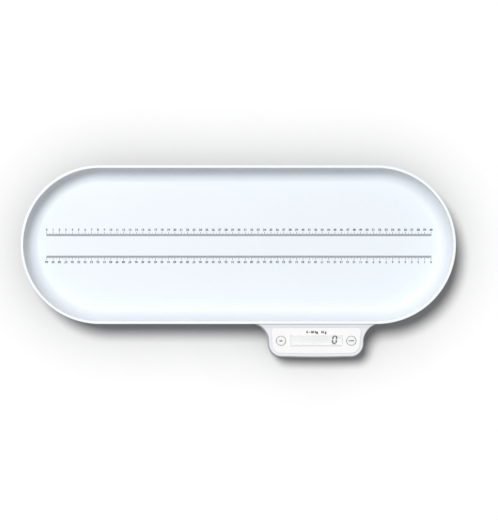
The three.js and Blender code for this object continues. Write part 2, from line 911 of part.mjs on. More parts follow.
// Battery bay pieces
function doorShape() {
  const plate = box(doorWidth, doorLength, undersideHeight, doorTop, consoleOffset, bayY);
  const tabs = doorTabPlaces().map(({ x, y }) => box(
    2 * doorTab, doorTabLength, doorTop - doorTabThickness, doorTop, x, y,
  ));
  const grips = steps(doorGripCount - 1, 0, doorGripCount - 1).map((i) => box(
    doorGripLength,
    doorGripWidth,
    undersideHeight - cutOverrun,
    undersideHeight + doorGripDepth,
    consoleOffset,
    bayY - doorLength / 4 + i * doorGripPitch,
  ));
  return build(plate, tabs, grips);
}

function batteryShape(direction) {
  const half = batteryLength / 2;
  const radius = batteryDiameter / 2;
  const shape = turned([
    [0, -half],
    [radius, -half],
    [radius, half - batteryTip],
    [batteryTipRadius, half - batteryTip],
    [batteryTipRadius, half],
    [0, half],
  ], roundSides);
  return shape.rotateY((direction * Math.PI) / 2);
}

function contactShape(width, side) {
  const bottom = bayFloor + seatGap;
  const top = bayRoof - seatGap;
  const middle = (bottom + top) / 2;
  const quarter = (top - bottom) / 4;
  const shape = new THREE.Shape();
  shape.moveTo(0, bottom);
  shape.lineTo(contactSheet, bottom);
  shape.lineTo(contactSheet, middle - quarter);
  shape.lineTo(contactSheet + contactSpring, middle);
  shape.lineTo(contactSheet, middle + quarter);
  shape.lineTo(contactSheet, top);
  shape.lineTo(0, top);
  shape.closePath();
  const sheet = extruded(shape, -width / 2, width / 2).rotateX(Math.PI / 2);
  return side > 0 ? sheet.rotateZ(Math.PI) : sheet;
}

// A lead: a round sheath along a smooth route
function leadShape(points) {
  const route = new THREE.CatmullRomCurve3(points, false, 'centripetal');
  const section = new THREE.Shape();
  section.absarc(0, 0, leadDiameter / 2, 0, 2 * Math.PI);
  return new THREE.ExtrudeGeometry(section, {
    steps: leadSteps,
    curveSegments: leadSides / 2,
    bevelEnabled: false,
    extrudePath: route,
  });
}

// The scale's group stands over the origin, and the deck's group carries what is square to the deck
const scale = new THREE.Group();
scale.position.y = backOfTray;
const deck = new THREE.Group();
deck.position.copy(deckOrigin);
deck.rotation.x = deckAngle;
scale.add(deck);

function piece(name, geometry, look, place = {}, parent = scale) {
  const mesh = new THREE.Mesh(geometry, new THREE.MeshStandardMaterial(look));
  mesh.name = name;
  mesh.position.set(place.x ?? 0, place.y ?? 0, place.z ?? 0);
  parent.add(mesh);
  return mesh;
}

function deckPiece(name, geometry, look, place = {}) {
  return piece(name, geometry, look, place, deck);
}

piece('tray', trayShape(), finishes.trayPlastic);
for (const place of padPlaces()) {
  const bottom = platformHeight - padDish + seatGap;
  piece(`tray_pad_${place.name}`, disc(padRadius, bottom, bottom + padHeight), finishes.footRubber, place);
}
piece('base_upper_shell', upperShellShape(), finishes.shellPlastic);
piece('base_lower_shell', lowerShellShape(), finishes.shellPlastic);

deckPiece('control_plate', plateShape(), finishes.platePlastic);
deckPiece('display_window', windowShape(), finishes.clearPlastic);
deckPiece('display_holder', displayHolderShape(), finishes.innerPlastic);
deckPiece(
  'display_glass',
  extruded(roundedRectangle(glassLength, glassHeight, seatGap), glassBottom, glassTop),
  finishes.displayGlass,
);
const stripY = (glassHeight - contactStripWidth) / 2;
deckPiece(
  'display_contact_strip',
  box(glassLength, contactStripWidth, backlightBottom, backlightTop, 0, stripY),
  finishes.contactRubber,
);
deckPiece(
  'display_backlight',
  box(
    glassLength, glassHeight - contactStripWidth - seatGap, backlightBottom, backlightTop,
    0, -(contactStripWidth + seatGap) / 2,
  ),
  finishes.lightGuide,
);
deckPiece('control_board', boardShape(), finishes.boardLaminate);
deckPiece(
  'controller_chip',
  box(chipSize, chipSize, boardBottom - seatGap - chipHeight, boardBottom - seatGap, chipOffset),
  finishes.blackPlastic,
);
const socketBottom = boardBottom - seatGap - socketHeight;
deckPiece(
  'lead_socket',
  box(socketLength, socketWidth, socketBottom, socketBottom + socketHeight, -socketOffset),
  finishes.whitePlastic,
);
boardScrewPlaces.forEach(({ x, y }, i) => {
  const shape = screwShape(
    boardScrewShank, boardScrewHead, boardScrewHeadHeight, boardScrewReach, screwTip,
  );
  deckPiece(`board_screw_${i + 1}`, shape, finishes.nickel, { x, y, z: boardBottom - seatGap });
});
for (const { name, x, y } of buttonPlaces) {
  deckPiece(`${name}_button`, buttonShape(), finishes.capPlastic, { x, y });
  deckPiece(`${name}_switch_plunger`, plungerShape(), finishes.blackPlastic, { x, y });
  deckPiece(`${name}_switch`, switchShape(), finishes.blackPlastic, { x, y });
}

for (const { name, x, y } of cellPlaces) {
  piece(`load_cell_${name}`, cellShape(), finishes.steel, { x, y, z: cellBottom });
  const holder = cellHolderShape(Math.sign(x));
  piece(`cell_holder_${name}`, holder, finishes.innerPlastic, { x, y, z: insideFloor + seatGap });
  piece(`foot_cup_${name}`, footCupShape(), finishes.shellPlastic, { x, y });
  piece(`foot_pad_${name}`, footPadShape(), finishes.footRubber, { x, y });
}

for (const { name, x, y } of screwPlaces) {
  const shape = screwShape(screwShank, screwHead, screwHeadHeight, screwLength, screwTip);
  piece(`shell_screw_${name}`, shape, finishes.nickel, { x, y, z: screwSeat });
}

piece('battery_door', doorShape(), finishes.shellPlastic);
const batteryRows = steps(batteryCount - 1, -(batteryCount - 1) / 2, (batteryCount - 1) / 2);
batteryRows.forEach((row, i) => {
  const place = { x: consoleOffset, y: bayY + row * batteryPitch, z: bayFloor + batteryDiameter / 2 };
  piece(`battery_${i + 1}`, batteryShape(i % 2 ? 1 : -1), finishes.batteryJacket, place);
});
const contactPlaces = [
  { name: 'positive', side: -1, row: -1, rows: 1 },
  { name: 'front_link', side: 1, row: -1 / 2, rows: 2 },
  { name: 'rear_link', side: -1, row: 1 / 2, rows: 2 },
  { name: 'negative', side: 1, row: 1, rows: 1 },
];
for (const { name, side, row, rows } of contactPlaces) {
  const shape = contactShape(contactWidth + (rows - 1) * batteryPitch, side);
  piece(`battery_contact_${name}`, shape, finishes.nickel, {
    x: consoleOffset + side * (bayLength / 2 - seatGap),
    y: bayY + row * batteryPitch,
  });
}

// Lead routes: along the floor from each cell to the console, then up into the socket
const onFloor = cellBottom + leadDiameter / 2;

function slotOffset(slot) {
  return (slot - cellPlaces.length / 2) * socketPitch - socketOffset;
}

function socketEnd(slot, below) {
  return new THREE.Vector3(slotOffset(slot), 0, socketBottom - below).applyMatrix4(deckFrame);
}

function lastStretch(slot) {
  const turn = consoleOffset + slotOffset(slot);
  return [
    new THREE.Vector3(turn, rimFront + baseInset, onFloor),
    new THREE.Vector3(turn, rimFront - baseInset / 2, onFloor + leadDiameter),
    socketEnd(slot, 3 * leadDiameter),
    socketEnd(slot, seatGap),
  ];
}

function cellLead(cell, slot, lane, between) {
  const side = Math.sign(cell.x);
  const exit = cell.x - side * (cellSize / 2 + seatGap);
  const points = [
    [exit, cell.y],
    [exit - side * (holderSize - cellSize + 2 * cellSocketWall), cell.y],
    ...between,
    [consoleOffset + slotOffset(slot) + side * leadBend, lane - leadDip],
  ];
  return leadShape([...points.map(([x, y]) => new THREE.Vector3(x, y, onFloor)), ...lastStretch(slot)]);
}

const [frontLeft, frontRight, rearLeft, rearRight] = cellPlaces;
const frontLane = rimFront + frontLaneFromRim;
const rearLane = rimFront + rearLaneFromRim;
const beforeConsole = consoleOffset - leadReach;
const besideBay = consoleOffset + doorWidth / 2 + frameEdge + leadBend;
const cellLeads = {
  front_left: cellLead(frontLeft, 0, frontLane, [
    [frontLeft.x + leadRun, frontLane],
    [beforeConsole, frontLane],
  ]),
  rear_left: cellLead(rearLeft, 1, rearLane, [
    [rearLeft.x + leadRun, rearLeft.y - leadDip],
    [beforeConsole, rearLane + leadBend],
  ]),
  rear_right: cellLead(rearRight, 3, rearLane, [
    [besideBay + leadBend, rearRight.y - 2 * leadBend],
    [besideBay, (rearRight.y + bayY) / 2],
    [besideBay, bayY],
    [besideBay - leadBend / 2, rearLane + leadDip],
  ]),
  front_right: cellLead(frontRight, 4, frontLane, [
    [frontRight.x - leadRun, frontLane],
  ]),
};
for (const [name, shape] of Object.entries(cellLeads)) {
  piece(`cell_lead_${name}`, shape, finishes.leadSheath);
}
const bayExit = bayY - bayWidth / 2 - bayWall - seatGap;
const overFrame = bayFloor + bayLedge + seatGap + leadDiameter / 2;
const middleSlot = cellPlaces.length / 2;
const batteryExit = consoleOffset + slotOffset(middleSlot);
piece('battery_lead', leadShape([
  new THREE.Vector3(batteryExit, bayExit, overFrame),
  new THREE.Vector3(batteryExit, bayExit - 3 * leadDiameter, overFrame),
  ...lastStretch(middleSlot),
]), finishes.leadSheath);

export default scale;
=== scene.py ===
"""Digital baby weighing scale: its visible pieces, finishes and stage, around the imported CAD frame."""

import json
import math

import bmesh
import bpy
from bpy.props import FloatProperty, FloatVectorProperty, IntProperty, PointerProperty
from mathutils import Matrix, Vector


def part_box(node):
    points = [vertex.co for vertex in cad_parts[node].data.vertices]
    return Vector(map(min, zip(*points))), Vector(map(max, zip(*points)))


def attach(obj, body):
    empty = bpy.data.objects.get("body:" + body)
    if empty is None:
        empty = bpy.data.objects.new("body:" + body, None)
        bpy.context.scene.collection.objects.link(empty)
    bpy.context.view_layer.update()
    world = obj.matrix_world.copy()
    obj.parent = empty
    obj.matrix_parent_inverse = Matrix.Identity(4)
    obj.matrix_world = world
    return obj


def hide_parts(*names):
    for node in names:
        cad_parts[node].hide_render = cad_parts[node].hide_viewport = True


bl_info = {
    "name": "Baby Weighing Scale",
    "version": (1, 0, 0),
    "blender": (4, 5, 0),
    "location": "3D View > Sidebar > Baby Scale",
    "description": "Builds the visible pieces, the finishes and the stage of a digital baby weighing scale",
    "category": "Object",
}

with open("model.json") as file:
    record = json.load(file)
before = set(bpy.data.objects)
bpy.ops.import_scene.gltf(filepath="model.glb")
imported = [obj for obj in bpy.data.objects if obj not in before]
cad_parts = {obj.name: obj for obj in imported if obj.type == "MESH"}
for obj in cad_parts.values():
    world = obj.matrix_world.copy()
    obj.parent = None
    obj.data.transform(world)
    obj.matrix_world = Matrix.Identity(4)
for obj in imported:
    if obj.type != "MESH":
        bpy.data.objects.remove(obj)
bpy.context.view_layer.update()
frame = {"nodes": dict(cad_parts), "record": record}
MM = 0.001
TRAY_LOW, TRAY_HIGH = (Vector(corner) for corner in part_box("tray"))
MIDDLE_Y = (TRAY_LOW.y + TRAY_HIGH.y) / 2
CORNERS = ("front_left", "front_right", "rear_left", "rear_right")
SCREWS = (*CORNERS, "console_left", "console_right")
TRAY_MIDDLE = Matrix.Translation((0, MIDDLE_Y, 0))
WHITE, BLACK = (1, 1, 1, 1), (0, 0, 0, 1)

# Edges that turn further than this stay sharp, and points closer than a seam are one
SHARP_EDGE = math.radians(35)
SEAM = 0.01 * MM
# Segments of a full round, of a half turn and of a rounded corner
ROUND_STEPS, HALF_TURN_STEPS, CORNER_STEPS = 72, 80, 10
# How far a shape reaches past a face that it opens or joins, and over and under the plate
OVERRUN, THROUGH = 1 * MM, 3 * MM
# Half the thickness of print, the height of a digit over its font size, and the drift of the gloss
INK, DIGIT_SHARE, GLOSS_DRIFT = 0.03 * MM, 0.7, 0.15
# Thickness of the window's and the buttons' flanges, how far a button's flange passes its hole, and
# its stem's radius and lowest point
FLANGE_THICK, BUTTON_FLANGE = 1 * MM, 1.3 * MM
BUTTON_STEM, BUTTON_STEM_LOW = 3 * MM, -2.8 * MM
# Wall of the pads' sockets, and how far sockets and ribs reach into the tray's floor
SOCKET_WALL, RIB_SUNK = 1.6 * MM, 0.5 * MM
# The battery door: how far its tabs stand out, half their width, their places along it, and its slide
TAB, TAB_HALF, TAB_ROWS, DOOR_TRAVEL = 1.5 * MM, 4 * MM, (-8 * MM, 8 * MM), 8 * MM
# Inner radii of the rings in the feet's soles, radius of the cups' studs and height of their shoulder
SOLE_RINGS, CUP_STUD, CUP_HIGH = (6 * MM, 9 * MM, 12 * MM), 5 * MM, 4.6 * MM
# Shell screws: the shank's radius, the head's height, the pitch of the thread and its steps round
SHANK, HEAD_HIGH, PITCH, SCREW_STEPS = 1.4 * MM, 2 * MM, 0.8 * MM, 40

# Profiles of round pieces, in millimetres inward of a radius and up from a height
PAD_FOOT, PAD_CROWN = ((3, 0), (2.6, 0.4), (2.2, 0), (0.6, 0), (0, 0.6)), ((0, -0.3), (0.3, 0))
CAP_EDGE = ((0, -0.5), (0.07, -0.31), (0.19, -0.15), (0.35, -0.04), (0.55, 0), (1.2, -0.02))
CUP_FOOT, CUP_SHOULDER = ((0.9, 0), (0.27, 0.27), (0, 0.9)), ((0, -0.5), (0.5, 0))
SOLE_GROOVE, SOLE_EDGE = ((0, 0), (-0.3, 0.5), (-0.9, 0.5), (-1.2, 0)), ((0.8, 0), (0.23, 0.23), (0, 0.8))
SCREW_HEAD, SCREW_THREAD, SCREW_TIP = ((0.8, 0), (0.2, 0.4), (0, 1.1)), ((0.25, 0), (0, 0.4)), ((0.3, -1),)


def linear(digits):
    """A colour written as six sRGB hex digits, in the renderer's linear values."""
    parts = [int(digits[i:i + 2], 16) / 255 for i in (0, 2, 4)]
    return tuple(p / 12.92 if p <= 0.04045 else ((p + 0.055) / 1.055) ** 2.4 for p in parts)


def length(name, description, millimetres):
    return FloatProperty(
        name=name, description=description, default=millimetres * MM, min=0, precision=4, unit="LENGTH"
    )


def angle(name, description, degrees):
    return FloatProperty(name=name, description=description, default=math.radians(degrees), subtype="ANGLE")


def share(name, description, value):
    return FloatProperty(name=name, description=description, default=value, min=0, max=1)


def colour(name, description, value):
    return FloatVectorProperty(
        name=name, description=description, default=linear(value), size=3, min=0, max=1, subtype="COLOR"
    )


class TraySizes(bpy.types.PropertyGroup):
    """Sizes of the weighing tray"""

    long: length("Length", "Length over the rim", (TRAY_HIGH.x - TRAY_LOW.x) / MM)
    wide: length("Width", "Width over the rim", (TRAY_HIGH.y - TRAY_LOW.y) / MM)
    top: length("Rim height", "Height of the rim's top over the table", TRAY_HIGH.z / MM)
    deep: length("Depth", "From the rim's top down to the floor", 28)
    wall: length("Wall", "Wall thickness", 3)
    rim: length("Rim width", "Width of the rounded rim", 4)
    skirt: length("Rim skirt", "How far the rim hangs down outside", 3)
    rim_round: length("Rim round", "Rounding of the rim's two top edges", 0.6)
    slope: length("Wall run", "How far the curved wall reaches in over the floor", 21.5)
    rib_depth: length("Rib height", "Height of the ribs under the floor", 2.2)
    rib_width: length("Rib width", "Width of the ribs under the floor", 2)
    rib_inset: length("Rib inset", "From the rim's outside to the ring rib", 36)
    socket_depth: length("Socket height", "Height of the sockets that hold the pads", 1.6)
    # From this height up the tray's tone is painted paler: a painted highlight for the light that the upper
    # wall and the rim catch
    pale_from: length("Paler from", "Height over the floor from which the tray's tone goes paler", 8)


class RulerSizes(bpy.types.PropertyGroup):
    """Sizes of the two printed rulers"""

    centimetres: IntProperty(name="Length in cm", description="Length of each ruler", default=60, min=1)
    apart: length("Spacing", "Between the foot lines of the two rulers", 30.4)
    right: length("Offset right", "Of the rulers' middle from the tray's middle", 0.8)
    forward: length("Offset forward", "Of the rulers' middle from the tray's middle", 1.8)
    short: length("Short tick", "Length of a millimetre tick", 3.4)
    middle: length("Middle tick", "Length of a five-millimetre tick", 4.8)
    tall: length("Long tick", "Length of a centimetre tick", 6.9)
    stroke: length("Tick width", "Printed width of a tick", 0.6)
    digits: length("Digit height", "Height of the numbers", 3.7)
    weight: length("Digit weight", "How much the numbers' strokes are thickened", 0.2)
    gap: length("Digit gap", "Between a tick and its number", 1.1)


class BaseSizes(bpy.types.PropertyGroup):
    """Sizes of the two base shells"""

    inset: length("Inset", "From the tray's rim in to the base's side", 12)
    wall: length("Wall", "Wall thickness", 2.5)
    bottom: length("Underside", "Height of the underside over the table", 7)
    parting: length("Parting line", "Height at which the shells meet", 15)
    seam: length("Seam", "Gap between the shells", 0.3)
    top: length("Platform", "Height of the platform under the tray", 26)
    shoulder: length("Shoulder round", "Rounding round the platform", 6)
    chine: length("Underside round", "Rounding round the underside", 3)


class ConsoleSizes(bpy.types.PropertyGroup):
    """Sizes of the console that stands out in front of the tray"""

    right: length("Offset", "From the scale's middle to the console's middle", 121)
    reach: length("Reach", "How far the console comes out in front of the rim", 50.4)
    wide: length("Width", "Width of the console's top", 144)
    corner: length("Corner radius", "Radius of the two front corners", 18)
    bow: length("Bow", "How far the front bows out", 1)
    waist: length("Flare start", "From the rim forward to where the sides start to flare", 27)
    flare: length("Flare radius", "Radius of the flare on each side", 29)
    turn: angle("Flare angle", "How far each side turns outward", 62)
    run: length("Flare run", "Straight stretch after the flare", 14)
    root: length("Root", "How far the console reaches in under the tray", 13)
    spread: length("Flank spread", "How far the flanks lean out towards the table", 3.5)
    rear: length("Rear height", "Height of the sloping top under the rim", 56)
    slope: angle("Slope", "Slope of the top face", 14)
    edge: length("Edge round", "Rounding round the top face", 2)
    hood_gap: length("Tray gap", "Gap between the console and the tray's bowl", 1)
    kerb_run: length("Kerb run", "From the rim forward to where the top starts to rise to the rim", 7)
    kerb_rise: length("Kerb rise", "How far the top rises to meet the rim", 1.5)


class ControlSizes(bpy.types.PropertyGroup):
    """Sizes of the control plate, the display and the buttons"""

    from_rim: length("Window place", "From the rim forward to the middle of the window", 24.8)
    rise: length("Plate rise", "How far the plate stands over the console's top", 0.6)
    thick: length("Plate thickness", "Thickness of the plate", 1.6)
    rear: length("Plate rear", "From the window's middle to the plate's rear edge", 18.7)
    front: length("Plate front", "From the window's middle to the plate's front edge", 21.4)
    rear_wide: length("Plate rear width", "Width of the plate at its rear", 140)
    front_wide: length("Plate front width", "Width of the plate at its front", 134)
    rear_corner: length("Rear corner", "Radius of the plate's rear corners", 4.5)
    front_corner: length("Front corner", "Radius of the plate's front corners", 12.5)
    window_long: length("Window length", "Length of the clear window", 81)
    window_wide: length("Window width", "Width of the clear window", 16)
    window_corner: length("Window corner", "Radius of the window's corners", 3)
    window_rise: length("Window rise", "How far the window stands over the plate", 1.3)
    bezel: length("Window frame", "Width of the white frame round the clear window", 0.7)
    sill: length("Window sill", "Width of the sloping sill in front of the window", 2.6)
    flange: length("Flange", "Width of the flange round the window", 2.5)
    gap: length("Fit gap", "Gap between pieces that fit together", 0.3)
    buttons_apart: length("Button spacing", "Between the middles of the two buttons", 109.2)
    button_drop: length("Button offset", "From the window's middle line to the buttons' middles", 1.5)
    button_hole: length("Button hole", "Diameter of the holes for the buttons", 14.5)
    button_rise: length("Button rise", "How far a button stands over the plate", 0.3)
    digit_right: length("Digit place", "From the window's middle to the middle of the digit", 28.7)
    digit_high: length("Digit height", "Height of the display's digit", 14.0)
    digit_wide: length("Digit width", "Width of the display's digit", 8.0)
    stroke: length("Segment width", "Width of a segment of the digit", 2.3)
    lean: angle("Digit lean", "How far the digit leans to the right", 7)
    lettering: length("Lettering height", "Height of the words on the buttons", 2.1)
    heading: length("Heading height", "Height of the weighing range over the window", 4.2)
    heading_up: length("Heading place", "From the window's middle line up to the weighing range", 12.4)
    ring: length("Ring width", "Width of the ring printed round each button", 0.5)


class Colours(bpy.types.PropertyGroup):
    """Colours of the finishes"""

    tray: colour("Tray", "White ABS with a cool tint", "E4EAF0")
    # Painted highlight: this paler tone stands in for the light that the rim catches; the tray itself is
    # moulded in one tone
    rim: colour("Tray rim", "Paler tone of the tray's thick rim", "F2F6F9")
    shell: colour("Base", "Pale grey ABS", "EFF1F6")
    plate: colour("Control plate", "White plate", "FEFEFE")
    button: colour("Buttons", "White button caps", "FAFAFA")
    window: colour("Window", "Clear acrylic", "F4F6F8")
    display: colour("Display", "Pale display that is lit from behind", "F6F7F7")
    segment: colour("Display segments", "Dark liquid crystal", "1F2122")
    ink: colour("Ruler ink", "Dark grey pad-printed ink", "2C3035")
    label: colour("Control ink", "Dark grey ink on the plate and the buttons", "303338")
    rubber: colour("Rubber", "Grey moulded rubber", "7E8389")
    inner: colour("Inner plastic", "Natural moulded plastic", "D9DBDD")
    floor: colour("Table", "Plain white table top", "FDFDFD")


class StageSizes(bpy.types.PropertyGroup):
    """Camera and light"""

    camera_right: length("Camera right", "Of the camera from the scale's middle", 16.6)
    camera_back: length("Camera back", "Of the camera from the scale's middle", 3.15)
    camera_high: length("Camera height", "Over the table", 4032)
    lens: FloatProperty(name="Lens", description="Focal length in millimetres", default=177.4, min=1)
    key: share("Key light", "Share of light from the key", 0.84)
    sky: share("Sky light", "Share of light from all round", 0.2)
    key_turn: angle("Key direction", "Direction that the key comes from, anticlockwise from +X", 128)
    key_rise: angle("Key height", "Height of the key over the horizon", 68)
    key_soft: angle("Key softness", "Angle that the key fills in the sky", 22)
    bounce: share("Table bounce", "Share of the light on the table that it gives back", 0.2)
    lift: share("Table light", "Even light that the table gives the scale", 0.2)
    hollow: share("Contact shade", "How much the table darkens under and beside the scale", 0.72)
    nearby: length("Contact reach", "How far from the scale the contact shade reaches", 120)
    floor: length("Table size", "Length and width of the table", 160000)


class ScaleSettings(bpy.types.PropertyGroup):
    """All settings of the baby weighing scale"""

    tray: PointerProperty(type=TraySizes)
    rulers: PointerProperty(type=RulerSizes)
    base: PointerProperty(type=BaseSizes)
    console: PointerProperty(type=ConsoleSizes)
    controls: PointerProperty(type=ControlSizes)
    colours: PointerProperty(type=Colours)
    stage: PointerProperty(type=StageSizes)


# Materials


def add_node(tree, kind, inputs=(), **settings):
    """Adds a node, gives it its settings, and sets or links its inputs by name or number."""
    node = tree.nodes.new(kind)
    for name, value in settings.items():
        setattr(node, name, value)
    for name, value in dict(inputs).items():
        if isinstance(value, bpy.types.NodeSocket):
            tree.links.new(value, node.inputs[name])
        else:
            node.inputs[name].default_value = value
    return node


def empty_tree(owner):
    """Switches on the nodes of a material or a world and clears them."""
    owner.use_nodes = True
    owner.node_tree.nodes.clear()
    return owner.node_tree


def shaded(value, factor=1.0):
    """A colour times a factor, with its alpha."""
    return (*(min(1.0, part * factor) for part in value), 1.0)


def surface(name, base, roughness, grain, relief, patch=60, drift=0.03, stretch=(1, 1, 1), **sockets):
    """A material with a slow drift in tone over patches, and a fine relief and gloss of a given grain."""
    material = bpy.data.materials.new(name)
    tree = empty_tree(material)
    place = add_node(tree, "ShaderNodeTexCoord").outputs["Object"]
    slow = add_node(tree, "ShaderNodeTexNoise", {"Vector": place, "Scale": 1 / (patch * MM), "Detail": 3})
    drawn = add_node(tree, "ShaderNodeMapping", {"Vector": place, "Scale": stretch}).outputs["Vector"]
    fine = add_node(
        tree, "ShaderNodeTexNoise",
        {"Vector": drawn, "Scale": 1 / (grain * MM), "Detail": 2, "Roughness": 0.6},
    ).outputs["Fac"]
    tone = add_node(
        tree, "ShaderNodeMix",
        {0: slow.outputs["Fac"], 6: shaded(base, 1 - drift), 7: shaded(base, 1 + drift)},
        data_type="RGBA",
    )
    gloss = add_node(
        tree, "ShaderNodeMapRange",
        {"Value": fine, "To Min": roughness * (1 - GLOSS_DRIFT), "To Max": roughness * (1 + GLOSS_DRIFT)},
    )
    bump = add_node(tree, "ShaderNodeBump", {"Height": fine, "Strength": 0.4, "Distance": relief * MM})
    shader = add_node(tree, "ShaderNodeBsdfPrincipled", {
        "Base Color": tone.outputs[2], "Roughness": gloss.outputs["Result"],
        "Normal": bump.outputs["Normal"],
        **{key.replace("_", " "): value for key, value in sockets.items()},
    })
    add_node(tree, "ShaderNodeOutputMaterial", {"Surface": shader.outputs["BSDF"]})
    return material


def pale_rim(material):
    """Paints a highlight on the tray: its tone goes paler up the wall to the thick rim, where the light
    falls on it most.
    """
    settings = bpy.context.scene.baby_scale
    tray, tree = settings.tray, material.node_tree
    tone = tree.nodes["Principled BSDF"].inputs["Base Color"]
    place = add_node(tree, "ShaderNodeTexCoord").outputs["Object"]
    height = add_node(tree, "ShaderNodeSeparateXYZ", {"Vector": place}).outputs["Z"]
    start, end = tray.top - tray.deep + tray.pale_from, tray.top - tray.skirt
    fade = add_node(tree, "ShaderNodeMapRange", {"Value": height, "From Min": start, "From Max": end})
    # Painted highlight: the tone is mixed towards the paler rim colour with height
    painted_highlight = add_node(
        tree, "ShaderNodeMix",
        {0: fade.outputs["Result"], 6: tone.links[0].from_socket, 7: shaded(settings.colours.rim)},
        data_type="RGBA",
    )
    tree.links.new(painted_highlight.outputs[2], tone)


def lit_film(name, base):
    """A pale film lit from behind, whose light falls off a little towards the middle of the display; its
    strong glow also paints out the shade that the window's recess casts on it.
    """
    settings = bpy.context.scene.baby_scale
    deck, long, wide = deck_place(settings), settings.controls.window_long, settings.controls.window_wide
    # Nearly all of its light is its own, so that its body is dark: the backlight's glow is partly painted
    # light, which fills the recess's shade
    glow, dimmest, body_tone, speckle_size = 0.8, 0.9, (0.15, 0.15, 0.15, 1), 0.4 * MM
    material = bpy.data.materials.new(name)
    tree = empty_tree(material)
    place = add_node(tree, "ShaderNodeTexCoord").outputs["Object"]
    centred = add_node(
        tree, "ShaderNodeMapping",
        {
            "Vector": place, "Location": deck.translation, "Rotation": (settings.console.slope, 0, 0),
            "Scale": (long / 2, wide / 2, wide),
        },
        vector_type="TEXTURE",
    ).outputs["Vector"]
    middle = add_node(tree, "ShaderNodeTexGradient", {"Vector": centred}, gradient_type="SPHERICAL")
    speckle = add_node(tree, "ShaderNodeTexNoise", {"Vector": place, "Scale": 1 / speckle_size, "Detail": 1})
    tone = add_node(
        tree, "ShaderNodeMix", {0: middle.outputs["Fac"], 6: shaded(base), 7: shaded(base, dimmest)},
        data_type="RGBA",
    ).outputs[2]
    gloss = add_node(
        tree, "ShaderNodeMapRange", {"Value": speckle.outputs["Fac"], "To Min": 0.3, "To Max": 0.4}
    )
    body = add_node(
        tree, "ShaderNodeMix", {0: 1.0, 6: tone, 7: body_tone}, data_type="RGBA", blend_type="MULTIPLY"
    )
    shader = add_node(tree, "ShaderNodeBsdfPrincipled", {
        "Base Color": body.outputs[2], "Roughness": gloss.outputs["Result"],
        "Emission Color": tone, "Emission Strength": glow,
    })
    add_node(tree, "ShaderNodeOutputMaterial", {"Surface": shader.outputs["BSDF"]})
    return material


# For each material slot: the material's name, its colour as a setting or in hex digits, its roughness,
# the grain and relief of its surface in millimetres, and what else sets it apart
FINISHES = {
    # ABS moulded in a polished tool: a soft sheen, hardly any grain
    "tray_abs": ("abs_moulded_gloss", "tray", 0.27, 0.6, 0.01, dict(drift=0.012, IOR=1.54)),
    # ABS moulded in a fine spark-eroded tool: an even satin with a grain of about 0.4 mm
    "shell_abs": ("abs_moulded_satin", "shell", 0.42, 0.4, 0.02, dict(drift=0.015, IOR=1.54)),
    # Polycarbonate sheet with a fine matt film on its face
    "plate_plastic": ("polycarbonate_satin_sheet", "plate", 0.36, 0.35, 0.008, dict(drift=0.008, IOR=1.58)),
    # ABS from a lightly textured tool: a soft, even sheen
    "cap_plastic": ("abs_button_cap", "button", 0.38, 0.3, 0.01, dict(drift=0.01, IOR=1.54)),
    # Cast acrylic with polished faces: nearly clear, a sharp reflection, faint waviness
    "window_acrylic": ("acrylic_polished", "window", 0.06, 9, 0.01, dict(drift=0.005, IOR=1.49, Alpha=0.06)),
    # Glass of the display over a pale rear film, with a fine speckle
    "display_glass": ("display_glass_reflective", "display", 0.2, 0.25, 0.004, dict(drift=0.012, IOR=1.52)),
    # Milky acrylic, frosted by moulding: an even, soft sheen
    "light_guide": ("acrylic_frosted", "F4F7F4", 0.35, 0.5, 0.02, dict(IOR=1.49)),
    # Silicone with carbon layers pressed across it: soft, dry, pink
    "contact_silicone": ("silicone_layered", "D98A92", 0.7, 0.4, 0.03, dict(stretch=(8, 1, 1), IOR=1.41)),
    # Glass cloth in epoxy under a green lacquer: the cloth's threads show as a weak grain
    "board_laminate": ("glass_epoxy_lacquered", "1F6B45", 0.4, 0.8, 0.03, dict(drift=0.1, IOR=1.55)),
    # Nylon and ABS from a finely blasted tool: an even, dry sheen
    "black_plastic": ("nylon_black_moulded", "222426", 0.5, 0.3, 0.02, dict(drift=0.05, IOR=1.53)),
    "socket_nylon": ("nylon_natural_moulded", "EEEAE0", 0.48, 0.4, 0.02, dict(IOR=1.53)),
    "inner_abs": ("abs_natural_moulded", "inner", 0.5, 0.4, 0.02, dict(IOR=1.54)),
    # Thermoplastic rubber from a textured tool: dull, with a dry bloom
    "pad_rubber": ("rubber_moulded", "rubber", 0.82, 0.5, 0.06, dict(patch=12, drift=0.08, IOR=1.52)),
    # Spring steel as rolled: fine lines drawn along the sheet
    "cell_steel": ("steel_rolled", "B9BCC0", 0.34, 0.3, 0.01, dict(stretch=(1, 0.04, 1), Metallic=1.0)),
    # Zinc on steel: bright, with a slightly milky drift
    "screw_steel": ("steel_zinc_plated", "C3C2BE", 0.3, 0.2, 0.01, dict(patch=2, drift=0.08, Metallic=1.0)),
    # Nickel on spring steel: brighter and more even
    "contact_nickel": ("steel_nickel_plated", "D0CFCB", 0.24, 0.2, 0.005, dict(patch=4, Metallic=1.0)),
    # Soft PVC drawn over the cores: a weak, waxy sheen
    "lead_sheath": ("pvc_extruded", "E7E7E4", 0.55, 0.5, 0.02, dict(patch=10, IOR=1.53)),
    # Plastic film shrunk over a steel can: a thin gloss over a faint waviness
    "battery_jacket": (
        "film_shrunk_on_steel", "5F7687", 0.32, 1.5, 0.01, dict(patch=8, drift=0.05, Coat_Weight=0.3)
    ),
    # Printed ink: thin, dull, a little uneven along its strokes
    "ruler_ink": ("ink_pad_printed", "ink", 0.6, 0.3, 0.004, dict(patch=3, drift=0.12, IOR=1.5)),
    "label_ink": ("ink_screen_printed", "label", 0.6, 0.3, 0.004, dict(patch=2, drift=0.1, IOR=1.5)),
    # Liquid crystal between glass plates: an even grey that is never quite black
    "segment": ("liquid_crystal_segment", "segment", 0.3, 0.3, 0.002, dict(patch=4, drift=0.04)),
    "segment_faint": ("liquid_crystal_mark", "A9ADAD", 0.3, 0.3, 0.002, dict(patch=4, drift=0.04)),
}


